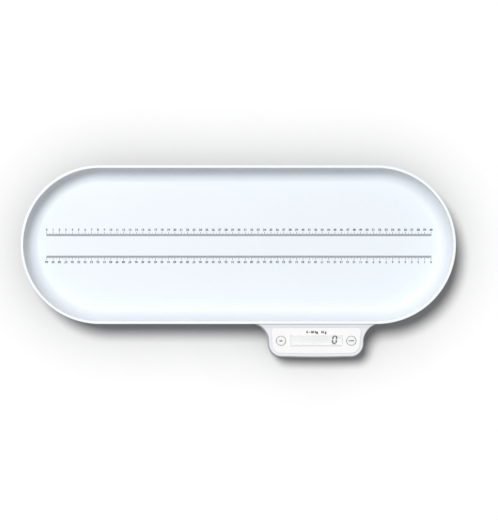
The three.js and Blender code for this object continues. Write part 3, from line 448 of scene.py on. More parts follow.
def finish_of(slot):
    """The material for one of the record's material slots, or for print on it."""
    colours = bpy.context.scene.baby_scale.colours
    if slot == "display_lit":
        # Polarising film over a display that is lit from behind: even and pale, weakest in the middle, its
        # glow partly painted light that fills the recess's shade
        return lit_film("display_film_backlit", colours.display)
    name, tint, roughness, grain, relief, rest = FINISHES[slot]
    if name in bpy.data.materials:
        return bpy.data.materials[name]
    base = getattr(colours, tint) if hasattr(colours, tint) else linear(tint)
    material = surface(name, base, roughness, grain, relief, **rest)
    # The tray's upper wall and rim get a painted highlight
    if slot == "tray_abs":
        pale_rim(material)
    return material


# Shapes


class Wire:
    """A wire drawn with bmesh operators in the plane of one X, from straight runs and arcs."""

    def __init__(self, bm, start):
        self.bm = bm
        self.verts = [bm.verts.new(start)]

    def line(self, *points):
        for point in points:
            vert = self.bm.verts.new(point)
            self.bm.edges.new((self.verts[-1], vert))
            self.verts.append(vert)

    def arc(self, centre, turn, steps, stretch=1.0):
        """Goes on round a centre by an angle about +X, on an ellipse whose Y is stretched."""
        centre = Vector(centre)
        start = self.verts[-1]
        start.co.y = centre.y + (start.co.y - centre.y) / stretch
        bmesh.ops.spin(
            self.bm, geom=[start], cent=centre, axis=(1, 0, 0), dvec=(0, 0, 0), angle=turn, steps=steps,
            use_merge=False, use_normal_flip=False, use_duplicate=False,
        )
        self.bm.verts.ensure_lookup_table()
        drawn = list(self.bm.verts)[-steps:]
        bmesh.ops.scale(
            self.bm, vec=(1, stretch, 1), space=Matrix.Translation(-centre), verts=[start, *drawn]
        )
        self.verts.extend(drawn)

    def parts(self):
        edges = dict.fromkeys(edge for vert in self.verts for edge in vert.link_edges)
        return [*self.verts, *edges]


def weld(bm, reach=SEAM / 10):
    """Merges points that lie on each other."""
    bmesh.ops.remove_doubles(bm, verts=bm.verts, dist=reach)
    bmesh.ops.dissolve_degenerate(bm, edges=bm.edges, dist=SEAM / 10)


def close_up(bm):
    """Merges what meets and turns all faces outward."""
    weld(bm, SEAM)
    bmesh.ops.recalc_face_normals(bm, faces=bm.faces)


def sweep_stadium(bm, wire, half):
    """Carries a wire that starts at X = half once round two half circles and the straights between."""
    parts = wire.parts()
    for x, turn, steps, run in (
        (half, math.pi, HALF_TURN_STEPS, 0), (half, 0, 1, -2 * half),
        (-half, math.pi, HALF_TURN_STEPS, 0), (-half, 0, 1, 2 * half),
    ):
        parts = bmesh.ops.spin(
            bm, geom=parts, cent=(x, 0, 0), axis=(0, 0, 1), dvec=(run, 0, 0), angle=turn, steps=steps,
            use_merge=False, use_normal_flip=False, use_duplicate=False,
        )["geom_last"]
    close_up(bm)


def section(radius, height, profile):
    """Points of radius and height along a profile given in millimetres inward and up."""
    return [(radius - inward * MM, height + up * MM) for inward, up in profile]


def ring_section(inner, outer, low, high):
    """The closed section of a plain ring."""
    return [(inner, low), (outer, low), (outer, high), (inner, high), (inner, low)]


def turned(bm, points, steps=ROUND_STEPS):
    """A solid of revolution about Z from points of radius and height."""
    wire = Wire(bm, (0, -points[0][0], points[0][1]))
    wire.line(*[(0, -radius, height) for radius, height in points[1:]])
    bmesh.ops.spin(
        bm, geom=wire.parts(), cent=(0, 0, 0), axis=(0, 0, 1), dvec=(0, 0, 0), angle=2 * math.pi,
        steps=steps, use_merge=True, use_normal_flip=False, use_duplicate=False,
    )
    close_up(bm)


def brick(bm, low, high):
    """A box between two corners."""
    low, high = Vector(low), Vector(high)
    place = Matrix.Translation((low + high) / 2) @ Matrix.Diagonal((*(high - low), 1))
    bmesh.ops.create_cube(bm, size=1, matrix=place)


def peg(bm, radius, low, high, steps=48):
    """An upright round bar."""
    bmesh.ops.create_cone(
        bm, cap_ends=True, cap_tris=False, segments=steps, radius1=radius, radius2=radius,
        depth=high - low, matrix=Matrix.Translation((0, 0, (low + high) / 2)),
    )


def rounded_face(bm, corners, height):
    """A flat face through corners, each given by its X, its Y and how far it is rounded off."""
    verts = [bm.verts.new((x, y, height)) for x, y, offset in corners]
    bm.faces.new(verts)
    for vert, (x, y, offset) in zip(verts, corners):
        if offset:
            bmesh.ops.bevel(
                bm, geom=[vert], offset=offset, offset_type="OFFSET", segments=CORNER_STEPS, profile=0.5,
                affect="VERTICES", clamp_overlap=False, material=-1,
            )
    bm.faces.ensure_lookup_table()
    return bm.faces[0]


def raise_face(bm, face, height):
    """Makes a flat face into a block of a given height and returns its top face."""
    grown = bmesh.ops.extrude_face_region(bm, geom=[face])["geom"]
    verts = [part for part in grown if isinstance(part, bmesh.types.BMVert)]
    bmesh.ops.translate(bm, vec=(0, 0, height), verts=verts)
    bmesh.ops.recalc_face_normals(bm, faces=bm.faces)
    return next(part for part in grown if isinstance(part, bmesh.types.BMFace))


def soften(bm, edges, offset, steps=4):
    """Rounds edges off."""
    bmesh.ops.bevel(
        bm, geom=list(edges), offset=offset, offset_type="OFFSET", segments=steps, profile=0.5,
        affect="EDGES", clamp_overlap=True, loop_slide=True, material=-1,
    )


def rectangle_block(bm, long, wide, corner, low, high, edge=0.0):
    """An upright block with rounded corners, and if asked a rounded top edge."""
    x, y = long / 2, wide / 2
    corners = [(-x, -y, corner), (x, -y, corner), (x, y, corner), (-x, y, corner)]
    top = raise_face(bm, rounded_face(bm, corners, low), high - low)
    if edge:
        soften(bm, top.edges, edge)


def join(bm, other, place):
    """Adds another bmesh to this one at a place, and frees it."""
    bmesh.ops.transform(other, matrix=place, verts=other.verts)
    mesh = bpy.data.meshes.new("part")
    other.to_mesh(mesh)
    other.free()
    bm.from_mesh(mesh)
    bpy.data.meshes.remove(mesh)


def lettering(bm, words, height, thick, weight=0.0, middle=(0, 0)):
    """Flat words centred on a point of the XY plane; the height is that of a capital or a digit."""
    curve = bpy.data.curves.new("words", "FONT")
    curve.body = words
    curve.align_x = "CENTER"
    curve.align_y = "CENTER"
    curve.size = (height - 2 * weight) / DIGIT_SHARE
    curve.offset = weight
    curve.extrude = thick / 2
    curve.resolution_u = 2
    holder = bpy.data.objects.new("words", curve)
    bpy.context.collection.objects.link(holder)
    mesh = bpy.data.meshes.new_from_object(holder.evaluated_get(bpy.context.evaluated_depsgraph_get()))
    bpy.data.objects.remove(holder)
    bpy.data.curves.remove(curve)
    drawn = bmesh.new()
    drawn.from_mesh(mesh)
    bpy.data.meshes.remove(mesh)
    weld(drawn)
    join(bm, drawn, Matrix.Translation((*middle, 0)))


def made_object(name, bm, place=None):
    """Puts a finished bmesh in the scene as an object at the origin."""
    if place is not None:
        bmesh.ops.transform(bm, matrix=place, verts=bm.verts)
    mesh = bpy.data.meshes.new(name)
    bm.to_mesh(mesh)
    bm.free()
    made = bpy.data.objects.new(name, mesh)
    bpy.context.collection.objects.link(made)
    return made


def solid(name, shape, *sizes, place=None):
    """A new object whose mesh is drawn by a shape function from these sizes."""
    bm = bmesh.new()
    shape(bm, *sizes)
    return made_object(name, bm, place)


def combine(made, union=(), difference=()):
    """Unites an object with others and then cuts others from it, all of which are used up."""
    tools = [("UNION", tool) for tool in union] + [("DIFFERENCE", tool) for tool in difference]
    for operation, tool in tools:
        modifier = made.modifiers.new(operation, "BOOLEAN")
        modifier.operation = operation
        modifier.solver = "EXACT"
        modifier.object = tool
    mesh = bpy.data.meshes.new_from_object(made.evaluated_get(bpy.context.evaluated_depsgraph_get()))
    made.modifiers.clear()
    old = made.data
    made.data = mesh
    bpy.data.meshes.remove(old)
    for operation, tool in tools:
        bpy.data.objects.remove(tool)
    bm = bmesh.new()
    bm.from_mesh(mesh)
    weld(bm)
    if not bm.faces or any(not edge.is_manifold for edge in bm.edges):
        raise RuntimeError(f"{made.name} came out empty or open")
    bm.to_mesh(mesh)
    bm.free()


def piece(made, body, slot, replaces=(), edge=0.0, finish=None):
    """Gives an object its finish and its body, and hides the CAD nodes that it stands in for."""
    made.data.materials.clear()
    made.data.materials.append(finish_of(finish or slot))
    made.data.shade_smooth()
    made.data.set_sharp_from_angle(angle=SHARP_EDGE)
    if edge:
        bevel = made.modifiers.new("Edge", "BEVEL")
        bevel.width = edge
        bevel.segments = 2
        bevel.limit_method = "ANGLE"
        bevel.angle_limit = SHARP_EDGE
    flat = made.modifiers.new("Normals", "WEIGHTED_NORMAL")
    flat.keep_sharp = True
    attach(made, body)
    if replaces:
        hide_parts(*replaces)


def corners_of(node):
    """The lowest and the highest corner of a CAD node."""
    return tuple(Vector(corner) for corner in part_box(node))


def round_node(node):
    """The place of an upright round CAD node's axis, its radius, its lowest and its highest point."""
    low, high = corners_of(node)
    centre = (low + high) / 2
    return Matrix.Translation((centre.x, centre.y, 0)), (high.y - low.y) / 2, low.z, high.z


def deck_place(settings, x=0, y=0, z=0):
    """The place of a point on the deck, along it and square to it from the window's middle."""
    console, controls = settings.console, settings.controls
    height = console.rear - controls.from_rim * math.tan(console.slope)
    front = MIDDLE_Y - settings.tray.wide / 2
    origin = Matrix.Translation((console.right, front - controls.from_rim, height))
    return origin @ Matrix.Rotation(console.slope, 4, "X") @ Matrix.Translation((x, y, z))


# Pieces


def straight(tray):
    """Half the straight stretch between the tray's two round ends."""
    return (tray.long - tray.wide) / 2


def bowl_wire(bm, tray, outward, low_turn=0.0):
    """The half section of the bowl moved outward, from its middle out to the rim's height."""
    half, floor = straight(tray), tray.wide / 2 - tray.rim - tray.slope
    depth, run = tray.deep + outward, tray.slope + outward
    wire = Wire(bm, (half, 0, tray.top - depth))
    wire.line((half, -floor, tray.top - depth))
    stretch = run / depth / math.cos(low_turn)
    wire.arc((half, -floor, tray.top), -(math.pi / 2 - low_turn), steps=18, stretch=stretch)
    return wire


def bowl_cutter(name, tray, outward):
    """What is cut away so that the tray's bowl stands clear."""
    half, over = straight(tray), tray.top + tray.deep
    bm = bmesh.new()
    wire = bowl_wire(bm, tray, outward)
    wire.line((half, wire.verts[-1].co.y, over), (half, 0, over))
    sweep_stadium(bm, wire, half)
    return made_object(name, bm, TRAY_MIDDLE)


def tray_bowl(bm, tray):
    """The bowl: its inside out to the rounded rim, down the skirt and back along the underside."""
    half, outside, lip = straight(tray), tray.wide / 2, tray.rim_round
    low, hem = tray.top - tray.skirt, 0.5 * MM
    wire = bowl_wire(bm, tray, 0, math.asin(lip / tray.deep))
    wire.verts[-1].co = (half, -(outside - tray.rim), tray.top - lip)
    wire.arc((half, -(outside - tray.rim + lip), tray.top - lip), math.pi / 2, steps=6)
    wire.line((half, -(outside - lip), tray.top))
    wire.arc((half, -(outside - lip), tray.top - lip), math.pi / 2, steps=6)
    wire.line((half, -outside, low + hem))
    wire.arc((half, -(outside - hem), low + hem), math.pi / 2, steps=3)
    depth, run = tray.deep + tray.wall, tray.slope + tray.wall
    floor = outside - tray.rim - tray.slope
    under = math.asin(tray.skirt / depth)
    wire.line((half, -floor - run * math.cos(under), low))
    wire.arc((half, -floor, tray.top), math.pi / 2 - under, steps=16, stretch=run / depth)
    wire.line((half, 0, tray.top - depth))
    sweep_stadium(bm, wire, half)


def tray_ribs(bm, tray):
    """A ring rib and five cross ribs, which reach into the floor so that they show as one with it."""
    half, width, ring = straight(tray), tray.rib_width, tray.wide / 2 - tray.rib_inset
    underside = tray.top - tray.deep - tray.wall
    low, high = underside - tray.rib_depth, underside + RIB_SUNK
    wire = Wire(bm, (half, -ring, low))
    inner = width - ring
    wire.line((half, inner, low), (half, inner, high), (half, -ring, high), (half, -ring, low))
    sweep_stadium(bm, wire, half)
    # The cross ribs are a little lower than the ring rib, so that no two faces lie in one plane
    before_end, lower, less_sunk = 14.5 * MM, 0.3 * MM, 0.1 * MM
    spacing, reach = (half - before_end) / 2, ring - width / 2
    for i in range(-2, 3):
        x = i * spacing
        brick(bm, (x - width / 2, -reach, low + lower), (x + width / 2, reach, high - less_sunk))


class BABYSCALE_OT_tray(bpy.types.Operator):
    """Build the weighing tray with its ribs"""

    bl_idname = "baby_scale.tray"
    bl_label = "Tray"

    def execute(self, context):
        settings = context.scene.baby_scale
        tray = settings.tray
        piece(solid("tray_bowl", tray_bowl, tray, place=TRAY_MIDDLE), "tray", "tray_abs", ("tray",))
        piece(solid("tray_ribs", tray_ribs, tray, place=TRAY_MIDDLE), "tray", "tray_abs")
        underside = tray.top - tray.deep - tray.wall
        for corner in CORNERS:
            node = f"tray_pad_{corner}"
            place, radius, low, high = round_node(node)
            inner = radius + settings.controls.gap
            socket = ring_section(
                inner, inner + SOCKET_WALL, underside - tray.socket_depth, underside + RIB_SUNK
            )
            made = solid(f"tray_socket_{corner}", turned, socket, place=place)
            piece(made, "tray", "tray_abs", edge=0.2 * MM)
            pad = [(0, low), *section(radius, low, PAD_FOOT), *section(radius, high, PAD_CROWN), (0, high)]
            piece(solid(f"pad_{corner}", turned, pad, place=place), "tray", "pad_rubber", (node,))
        return {"FINISHED"}


def ruler_ticks(bm, sizes):
    """The strokes of one ruler, with their feet on the X axis."""
    count = 10 * sizes.centimetres
    for i in range(count + 1):
        tall = sizes.tall if i % 10 == 0 else sizes.middle if i % 5 == 0 else sizes.short
        x = (i - count / 2) * MM
        brick(bm, (x - sizes.stroke / 2, 0, -INK), (x + sizes.stroke / 2, tall, INK))


def ruler_numbers(bm, sizes):
    """The numbers of one ruler, over its long ticks."""
    line = sizes.tall + sizes.gap + sizes.digits / 2
    for number in range(sizes.centimetres + 1):
        x = 10 * (number - sizes.centimetres / 2) * MM
        lettering(bm, str(number), sizes.digits, 2 * INK, sizes.weight, (x, line))


class BABYSCALE_OT_rulers(bpy.types.Operator):
    """Print the two rulers on the tray's floor"""

    bl_idname = "baby_scale.rulers"
    bl_label = "Rulers"

    def execute(self, context):
        settings = context.scene.baby_scale
        sizes, tray = settings.rulers, settings.tray
        centre = Matrix.Translation((sizes.right, MIDDLE_Y - sizes.forward, tray.top - tray.deep))
        for name, turn in (("rear", 0), ("front", math.pi)):
            place = centre @ Matrix.Rotation(turn, 4, "Z") @ Matrix.Translation((0, sizes.apart / 2, 0))
            for kind, shape in (("ticks", ruler_ticks), ("numbers", ruler_numbers)):
                printed = solid(f"ruler_{name}_{kind}", shape, sizes, place=place)
                piece(printed, "tray", "tray_abs", finish="ruler_ink")
        return {"FINISHED"}


def slab_block(name, settings, inward, low, high, low_round=0.0, high_round=0.0):
    """The long round-ended block of the base, moved inward."""
    half = straight(settings.tray)
    radius = settings.tray.wide / 2 - settings.base.inset - inward
    bm = bmesh.new()
    wire = Wire(bm, (half, 0, high))
    wire.line((half, -(radius - high_round), high))
    if high_round:
        wire.arc((half, -(radius - high_round), high - high_round), math.pi / 2, steps=8)
    wire.line((half, -radius, low + low_round))
    if low_round:
        wire.arc((half, -(radius - low_round), low + low_round), math.pi / 2, steps=6)
    wire.line((half, 0, low))
    sweep_stadium(bm, wire, half)
    return made_object(name, bm, TRAY_MIDDLE)


def console_face(bm, settings, outward, height):
    """The console's outline as a flat face, moved outward."""
    console, rim = settings.console, -settings.tray.wide / 2
    side, front = console.wide / 2, rim - console.reach
    lean = math.tan(console.turn / 2)
    tangent = console.flare * lean
    flare = Vector((side, rim - console.waist + tangent))
    neck = flare + (tangent + console.run) * Vector((math.sin(console.turn), math.cos(console.turn)))
    shift = outward * Vector((1, -lean))
    flat, neck_round = side - console.corner, 4 * MM
    bow = [
        (flat * part, front - outward + console.bow * part ** 2, 0)
        for part in (-0.75, -0.5, -0.25, 0, 0.25, 0.5, 0.75)
    ]
    half = [
        (side + outward, front + console.bow - outward, console.corner + outward),
        (*(flare + shift), (console.flare - outward) * lean),
        (*(neck + shift), neck_round),
        (neck.x + outward, rim + settings.base.inset + console.root, 0),
    ]
    return rounded_face(bm, bow + half + [(-x, y, rounding) for x, y, rounding in reversed(half)], height)


def console_block(name, settings, outward, low, high, low_round=0.0):
    """The console's outline as an upright block, with a rounded underside if asked."""
    bm = bmesh.new()
    bottom = raise_face(bm, console_face(bm, settings, outward, high), low - high)
    if low_round:
        soften(bm, bottom.edges, low_round)
    return made_object(name, bm, Matrix.Translation((settings.console.right, MIDDLE_Y, 0)))


def hood_block(name, settings, inward):
    """The console's block under its sloping top, moved inward."""
    base, console, rim = settings.base, settings.console, -settings.tray.wide / 2
    low = base.parting - base.seam if inward else base.parting + base.seam
    bm = bmesh.new()
    face = console_face(bm, settings, console.spread - inward, low)
    bmesh.ops.inset_region(
        bm, faces=[face], thickness=console.spread - console.edge / 2, depth=0, use_even_offset=True,
        use_boundary=True,
    )
    bm.faces.ensure_lookup_table()
    top = max(bm.faces, key=lambda part: part.calc_area())
    kerb = rim - console.kerb_run
    cut = bmesh.ops.bisect_plane(
        bm, geom=[top, *top.edges, *top.verts], dist=SEAM, plane_co=(0, kerb, 0), plane_no=(0, 1, 0)
    )
    tops = [part for part in cut["geom"] if isinstance(part, bmesh.types.BMFace)]
    for vert in {vert for part in tops for vert in part.verts}:
        height = console.rear + (vert.co.y - rim) * math.tan(console.slope)
        height += max(vert.co.y - kerb, 0) * console.kerb_rise / console.kerb_run
        vert.co.z = height - inward / math.cos(console.slope)
    bmesh.ops.holes_fill(bm, edges=[edge for edge in bm.edges if edge.is_boundary], sides=0)
    bmesh.ops.recalc_face_normals(bm, faces=bm.faces)
    if not inward:
        border = [edge for edge in bm.edges if len({part in tops for part in edge.link_faces}) == 2]
        soften(bm, border, console.edge, steps=5)
    return made_object(name, bm, Matrix.Translation((console.right, MIDDLE_Y, 0)))


def plate_block(name, settings, outward, low, high):
    """The control plate's outline as a block on the deck, moved outward."""
    sizes, bow = settings.controls, settings.console.bow
    rear, front = sizes.rear + outward, -sizes.front - outward
    rear_x, front_x = sizes.rear_wide / 2 + outward, sizes.front_wide / 2 + outward
    rear_round, front_round = sizes.rear_corner + outward, sizes.front_corner + outward
    flat = front_x - sizes.front_corner
    corners = [(-rear_x, rear, rear_round), (-front_x, front, front_round)]
    corners += [(flat * part, front - bow * (1 - part ** 2), 0) for part in (-0.6, -0.3, 0, 0.3, 0.6)]
    corners += [(front_x, front, front_round), (rear_x, rear, rear_round)]
    bm = bmesh.new()
    raise_face(bm, rounded_face(bm, corners, low), high - low)
    return made_object(name, bm, deck_place(settings))


def button_places(settings):
    """The place of each button's middle on the deck."""
    apart, drop = settings.controls.buttons_apart / 2, settings.controls.button_drop
    return {"unit": deck_place(settings, -apart, -drop), "power": deck_place(settings, apart, -drop)}


class BABYSCALE_OT_upper_shell(bpy.types.Operator):
    """Build the upper shell with the console's hood"""

    bl_idname = "baby_scale.upper_shell"
    bl_label = "Upper Shell"

    def execute(self, context):
        settings = context.scene.baby_scale
        base, sizes, tray = settings.base, settings.controls, settings.tray
        gap, wall, low = sizes.gap, base.wall, base.parting + base.seam
        clear, skirt = tray.wall + settings.console.hood_gap, tray.top - tray.skirt - gap

        shell = slab_block("base_top", settings, 0, low, base.top, 0, base.shoulder)
        round_skirt = slab_block("round_skirt", settings, -base.inset - gap, skirt, skirt + tray.deep)
        combine(
            shell, union=[hood_block("hood", settings, 0)],
            difference=[bowl_cutter("clear", tray, clear), round_skirt],
        )
        room = slab_block(
            "room", settings, wall, low - 2 * base.seam, base.top - wall, 0, base.shoulder - wall
        )
        combine(
            room, union=[hood_block("hood_room", settings, wall)],
            difference=[bowl_cutter("clear_room", tray, clear + wall)],
        )
        around, under = 2 * (sizes.flange + gap), -wall - OVERRUN
        cuts = [
            room,
            plate_block("recess", settings, gap, sizes.rise - sizes.thick - gap, THROUGH),
            solid(
                "opening", rectangle_block, sizes.window_long + around, sizes.window_wide + around,
                sizes.window_corner, under, 0, place=deck_place(settings),
            ),
        ]
        bore = sizes.button_hole / 2 + BUTTON_FLANGE + gap
        for name, place in button_places(settings).items():
            cuts.append(solid(name, peg, bore, under, 0, ROUND_STEPS, place=place))
        for corner in CORNERS:
            place, radius, pad_low = round_node(f"tray_pad_{corner}")[:3]
            dish = radius + 0.8 * MM
            cuts.append(
                solid("dish", peg, dish, pad_low - gap, base.top + OVERRUN, ROUND_STEPS, place=place)
            )
        combine(shell, difference=cuts)
        piece(shell, "base", "shell_abs", ("base_upper_shell",), edge=0.25 * MM)
        return {"FINISHED"}


def battery_bay(settings):
    """The battery bay's walls, and what is cut out for the cells, for the door and for its slide."""
    base, gap = settings.base, settings.controls.gap
    floor, under = base.bottom + base.wall, base.bottom - OVERRUN
    door_low, door_high = corners_of("battery_door")
    first_low, first_high = corners_of("battery_1")
    last_high = corners_of("battery_3")[1]
    wall, cell_end, cell_side, sunk = 1.5 * MM, 4 * MM, 0.4 * MM, 0.5 * MM
    roof, edge = first_high.z + gap, gap + wall
    x_low, x_high = first_low.x - cell_end, first_high.x + cell_end
    y_low, y_high = first_low.y - cell_side, last_high.y + cell_side
    added = [
        solid(
            "door_frame", brick, (door_low.x - edge, door_low.y - edge - TAB, floor - OVERRUN),
            (door_high.x + edge, door_high.y + edge + TAB + DOOR_TRAVEL, floor + edge),
        ),
        solid(
            "bay_walls", brick, (x_low - wall, y_low - wall, floor - sunk),
            (x_high + wall, y_high + wall, roof + wall),
        ),
    ]
    cuts = [
        solid("cells", brick, (x_low, y_low, under), (x_high, y_high, roof)),
        solid(
            "doorway", brick, (door_low.x + TAB - gap, door_low.y - gap, under),
            (door_high.x - TAB + gap, door_high.y + gap + DOOR_TRAVEL, floor + gap),
        ),
    ]
    middle, reach, skin = ((door_low + door_high) / 2).y, TAB_HALF + gap, 1 * MM
    for side, end in ((-1, door_low.x + TAB), (1, door_high.x - TAB)):
        left, right = sorted((end - side * TAB, end + side * (TAB + gap)))
        for row in TAB_ROWS:
            front, rear = middle + row - reach, middle + row + reach + DOOR_TRAVEL
            far = (right, rear, floor + gap)
            cuts.append(solid("groove", brick, (left, front, base.bottom + skin), far))
            cuts.append(solid("slot", brick, (left, front + DOOR_TRAVEL, under), far))
    return added, cuts


class BABYSCALE_OT_lower_shell(bpy.types.Operator):
    """Build the lower shell with the battery bay and the holes for the feet"""

    bl_idname = "baby_scale.lower_shell"
    bl_label = "Lower Shell"

    def execute(self, context):
        settings = context.scene.baby_scale
        base, spread = settings.base, settings.console.spread
        wall, bottom, parting, chine = base.wall, base.bottom, base.parting, base.chine
        floor, over = bottom + wall, parting + OVERRUN

        shell = slab_block("base_bottom", settings, 0, bottom, parting, chine)
        combine(shell, union=[console_block("console_floor", settings, spread, bottom, parting, chine)])
        room = slab_block("room", settings, wall, floor, over, chine - wall)
        combine(room, union=[
            console_block("console_room", settings, spread - wall, floor, over, chine - wall)
        ])
        combine(shell, difference=[room])

        # Radii of the screws' posts, of the wells for their heads, of their bores and of the feet's holes
        post, well, bore, foot_hole = 4.6 * MM, 3.1 * MM, 1.75 * MM, 20 * MM
        post_low, post_high = bottom + 1.5 * MM, parting - 1 * MM
        low, seat = bottom - OVERRUN, bottom + 3 * MM
        added, openings = battery_bay(settings)
        cuts = []
        for corner in SCREWS:
            place = round_node(f"shell_screw_{corner}")[0]
            added.append(solid("post", peg, post, post_low, post_high, place=place))
            cuts.append(solid("well", peg, well, low, seat, place=place))
            cuts.append(solid("bore", peg, bore, bottom, parting, place=place))
        for corner in CORNERS:
            place = round_node(f"foot_cup_{corner}")[0]
            cuts.append(solid("hole", peg, foot_hole, low, floor + OVERRUN, ROUND_STEPS, place=place))
        combine(shell, union=added, difference=cuts + openings)
        piece(shell, "base", "shell_abs", ("base_lower_shell",), edge=0.2 * MM)
        return {"FINISHED"}


def build_plate(settings):
    """The control plate with its holes for the window and the buttons."""
    sizes = settings.controls
    plate = plate_block("plate", settings, 0, sizes.rise - sizes.thick, sizes.rise)
    cuts = [
        solid(
            "hole", rectangle_block, sizes.window_long + 2 * sizes.gap, sizes.window_wide + 2 * sizes.gap,
            sizes.window_corner, -THROUGH, THROUGH, place=deck_place(settings),
        ),
    ]
    for name, place in button_places(settings).items():
        cuts.append(solid(name, peg, sizes.button_hole / 2, -THROUGH, THROUGH, ROUND_STEPS, place=place))
    combine(plate, difference=cuts)
    piece(plate, "base", "plate_plastic", ("control_plate",), edge=0.3 * MM)


def window_sill(bm, sizes, top):
    """The sill in front of the window, which slopes down to a thin front edge."""
    # It stands clear of the plate's and the window's top faces, so that no two lie in one plane
    low, high = sizes.rise + 0.02 * MM, top - 0.05 * MM
    corner, thinnest = 0.99 * sizes.sill, 0.1
    rectangle_block(bm, sizes.window_long, 2 * sizes.sill, corner, low, high)
    for vert in bm.verts:
        if vert.co.z > (low + high) / 2 and vert.co.y < 0:
            vert.co.z = low + (top - low) * max(1 + vert.co.y / sizes.sill, thinnest)


def build_window(settings):
    """The white frame of the window with its flange and sill, and the clear lens in it."""
    sizes, deck = settings.controls, deck_place(settings)
    long, wide, corner = sizes.window_long, sizes.window_wide, sizes.window_corner
    high = sizes.rise - sizes.thick - sizes.gap
    low, top = high - FLANGE_THICK, sizes.rise + sizes.window_rise
    frame_round, lens_round, slack, sunk = 0.3 * MM, 0.2 * MM, 0.02 * MM, 0.1 * MM
    bezel = solid("window_frame", rectangle_block, long, wide, corner, low, top, frame_round, place=deck)
    around = 2 * sizes.flange
    flange = solid("flange", rectangle_block, long + around, wide + around, corner, low, high, place=deck)
    sill = solid("sill", window_sill, sizes, top, place=deck_place(settings, 0, -wide / 2))
    combine(bezel, union=[flange, sill])
    long, wide, corner = long - 2 * sizes.bezel, wide - 2 * sizes.bezel, corner - sizes.bezel
    clear = solid("clear", rectangle_block, long, wide, corner, low - OVERRUN, top + OVERRUN, place=deck)
    combine(bezel, difference=[clear])
    piece(bezel, "base", "plate_plastic", ("display_window",))
    lens = solid(
        "window_lens", rectangle_block, long - slack, wide - slack, corner, low, top - sunk, lens_round,
        place=deck,
    )
    piece(lens, "base", "window_acrylic")


def display_zero(bm, sizes):
    """A zero of six bars with pointed ends, each a little apart from the next."""
    stroke, point, gap = sizes.stroke, 0.49 * sizes.stroke, 0.35 * MM
    across, up = sizes.digit_wide - stroke, (sizes.digit_high - stroke) / 2
    bars = [(0, y, across, 0) for y in (-up, up)]
    bars += [(x, y, up, math.pi / 2) for x in (-across / 2, across / 2) for y in (-up / 2, up / 2)]
    for x, y, long, turn in bars:
        end = (long - gap) / 2
        bar = bmesh.new()
        brick(bar, (-end, -stroke / 2, INK / 2), (end, stroke / 2, 2 * INK))
        upright = [edge for edge in bar.edges if abs(edge.verts[0].co.z - edge.verts[1].co.z) > INK]
        soften(bar, upright, point, steps=1)
        join(bm, bar, Matrix.Translation((x, y, 0)) @ Matrix.Rotation(turn, 4, "Z"))


def build_display(settings):
    """What shows through the window: the lit film with a leaning zero and a faint unit mark."""
    sizes = settings.controls
    face = sizes.rise - sizes.thick - sizes.gap - FLANGE_THICK - sizes.gap
    # The film reaches a little past the window on all sides, so that its edge doesn't show
    past_end, past_side, corner = 1 * MM, 2 * MM, 1 * MM
    film = solid(
        "display_film", rectangle_block, sizes.window_long + past_end, sizes.window_wide + past_side, corner,
        face, face + INK, place=deck_place(settings),
    )
    piece(film, "base", "display_glass", finish="display_lit")
    lean = Matrix.Identity(4)
    lean[0][1] = math.tan(sizes.lean)
    drop, mark_right, mark_up, mark_high = 0.5 * MM, 8 * MM, 2.8 * MM, 2.4 * MM
    place = deck_place(settings, sizes.digit_right, -drop, face) @ lean
    digit = solid("display_digit", display_zero, sizes, place=place)
    piece(digit, "base", "display_glass", finish="segment")
    place = deck_place(settings, sizes.digit_right + mark_right, mark_up, face + INK)
    mark = solid("display_unit", lettering, "kg", mark_high, 2 * INK, place=place)
    piece(mark, "base", "display_glass", finish="segment_faint")


def print_plate(settings):
    """The weighing range over the window and a ring round each button."""
    sizes, weight, ring_gap = settings.controls, 0.32 * MM, 0.1 * MM
    place = deck_place(settings, 0, sizes.heading_up, sizes.rise)
    heading = solid(
        "plate_heading", lettering, "0 - 20 kg   10 g", sizes.heading, 2 * INK, weight, place=place
    )
    piece(heading, "base", "plate_plastic", finish="label_ink")
    inner = sizes.button_hole / 2 + ring_gap
    ring = ring_section(inner, inner + sizes.ring, sizes.rise - INK, sizes.rise + INK)
    for name, place in button_places(settings).items():
        made = solid(f"plate_ring_{name}", turned, ring, place=place)
        piece(made, "base", "plate_plastic", finish="label_ink")


class BABYSCALE_OT_controls(bpy.types.Operator):
    """Build the control plate, the window and the display's digit"""

    bl_idname = "baby_scale.controls"
    bl_label = "Control Plate and Display"

    def execute(self, context):
        for build in (build_plate, build_window, build_display, print_plate):
            build(context.scene.baby_scale)
        return {"FINISHED"}


class BABYSCALE_OT_buttons(bpy.types.Operator):
    """Build the two push buttons with their printed words"""

    bl_idname = "baby_scale.buttons"
    bl_label = "Buttons"

    def execute(self, context):
        settings = context.scene.baby_scale
        sizes = settings.controls
        top, hole, weight = sizes.rise + sizes.button_rise, sizes.button_hole / 2, 0.16 * MM
        radius, flange = hole - sizes.gap, hole + BUTTON_FLANGE
        high = sizes.rise - sizes.thick - sizes.gap
        low = high - FLANGE_THICK
        # A shallow dish for the finger
        dish, middle = top - 0.1 * MM, top - 0.12 * MM
        cap = [
            (0, BUTTON_STEM_LOW), (BUTTON_STEM, BUTTON_STEM_LOW), (BUTTON_STEM, low), (flange, low),
            (flange, high), (radius, high), *section(radius, top, CAP_EDGE), (radius / 2, dish), (0, middle),
        ]
        for name, word in (("unit", "kg/lb"), ("power", "ON/OFF")):
            place = button_places(settings)[name]
            body = f"{name}_button"
            piece(solid(f"{name}_cap", turned, cap, place=place), body, "cap_plastic", (body,))
            printed = solid(
                f"{name}_word", lettering, word, sizes.lettering, 2 * INK, weight,
                place=place @ Matrix.Translation((0, 0, dish)),
            )
            piece(printed, body, "cap_plastic", finish="label_ink")
        return {"FINISHED"}


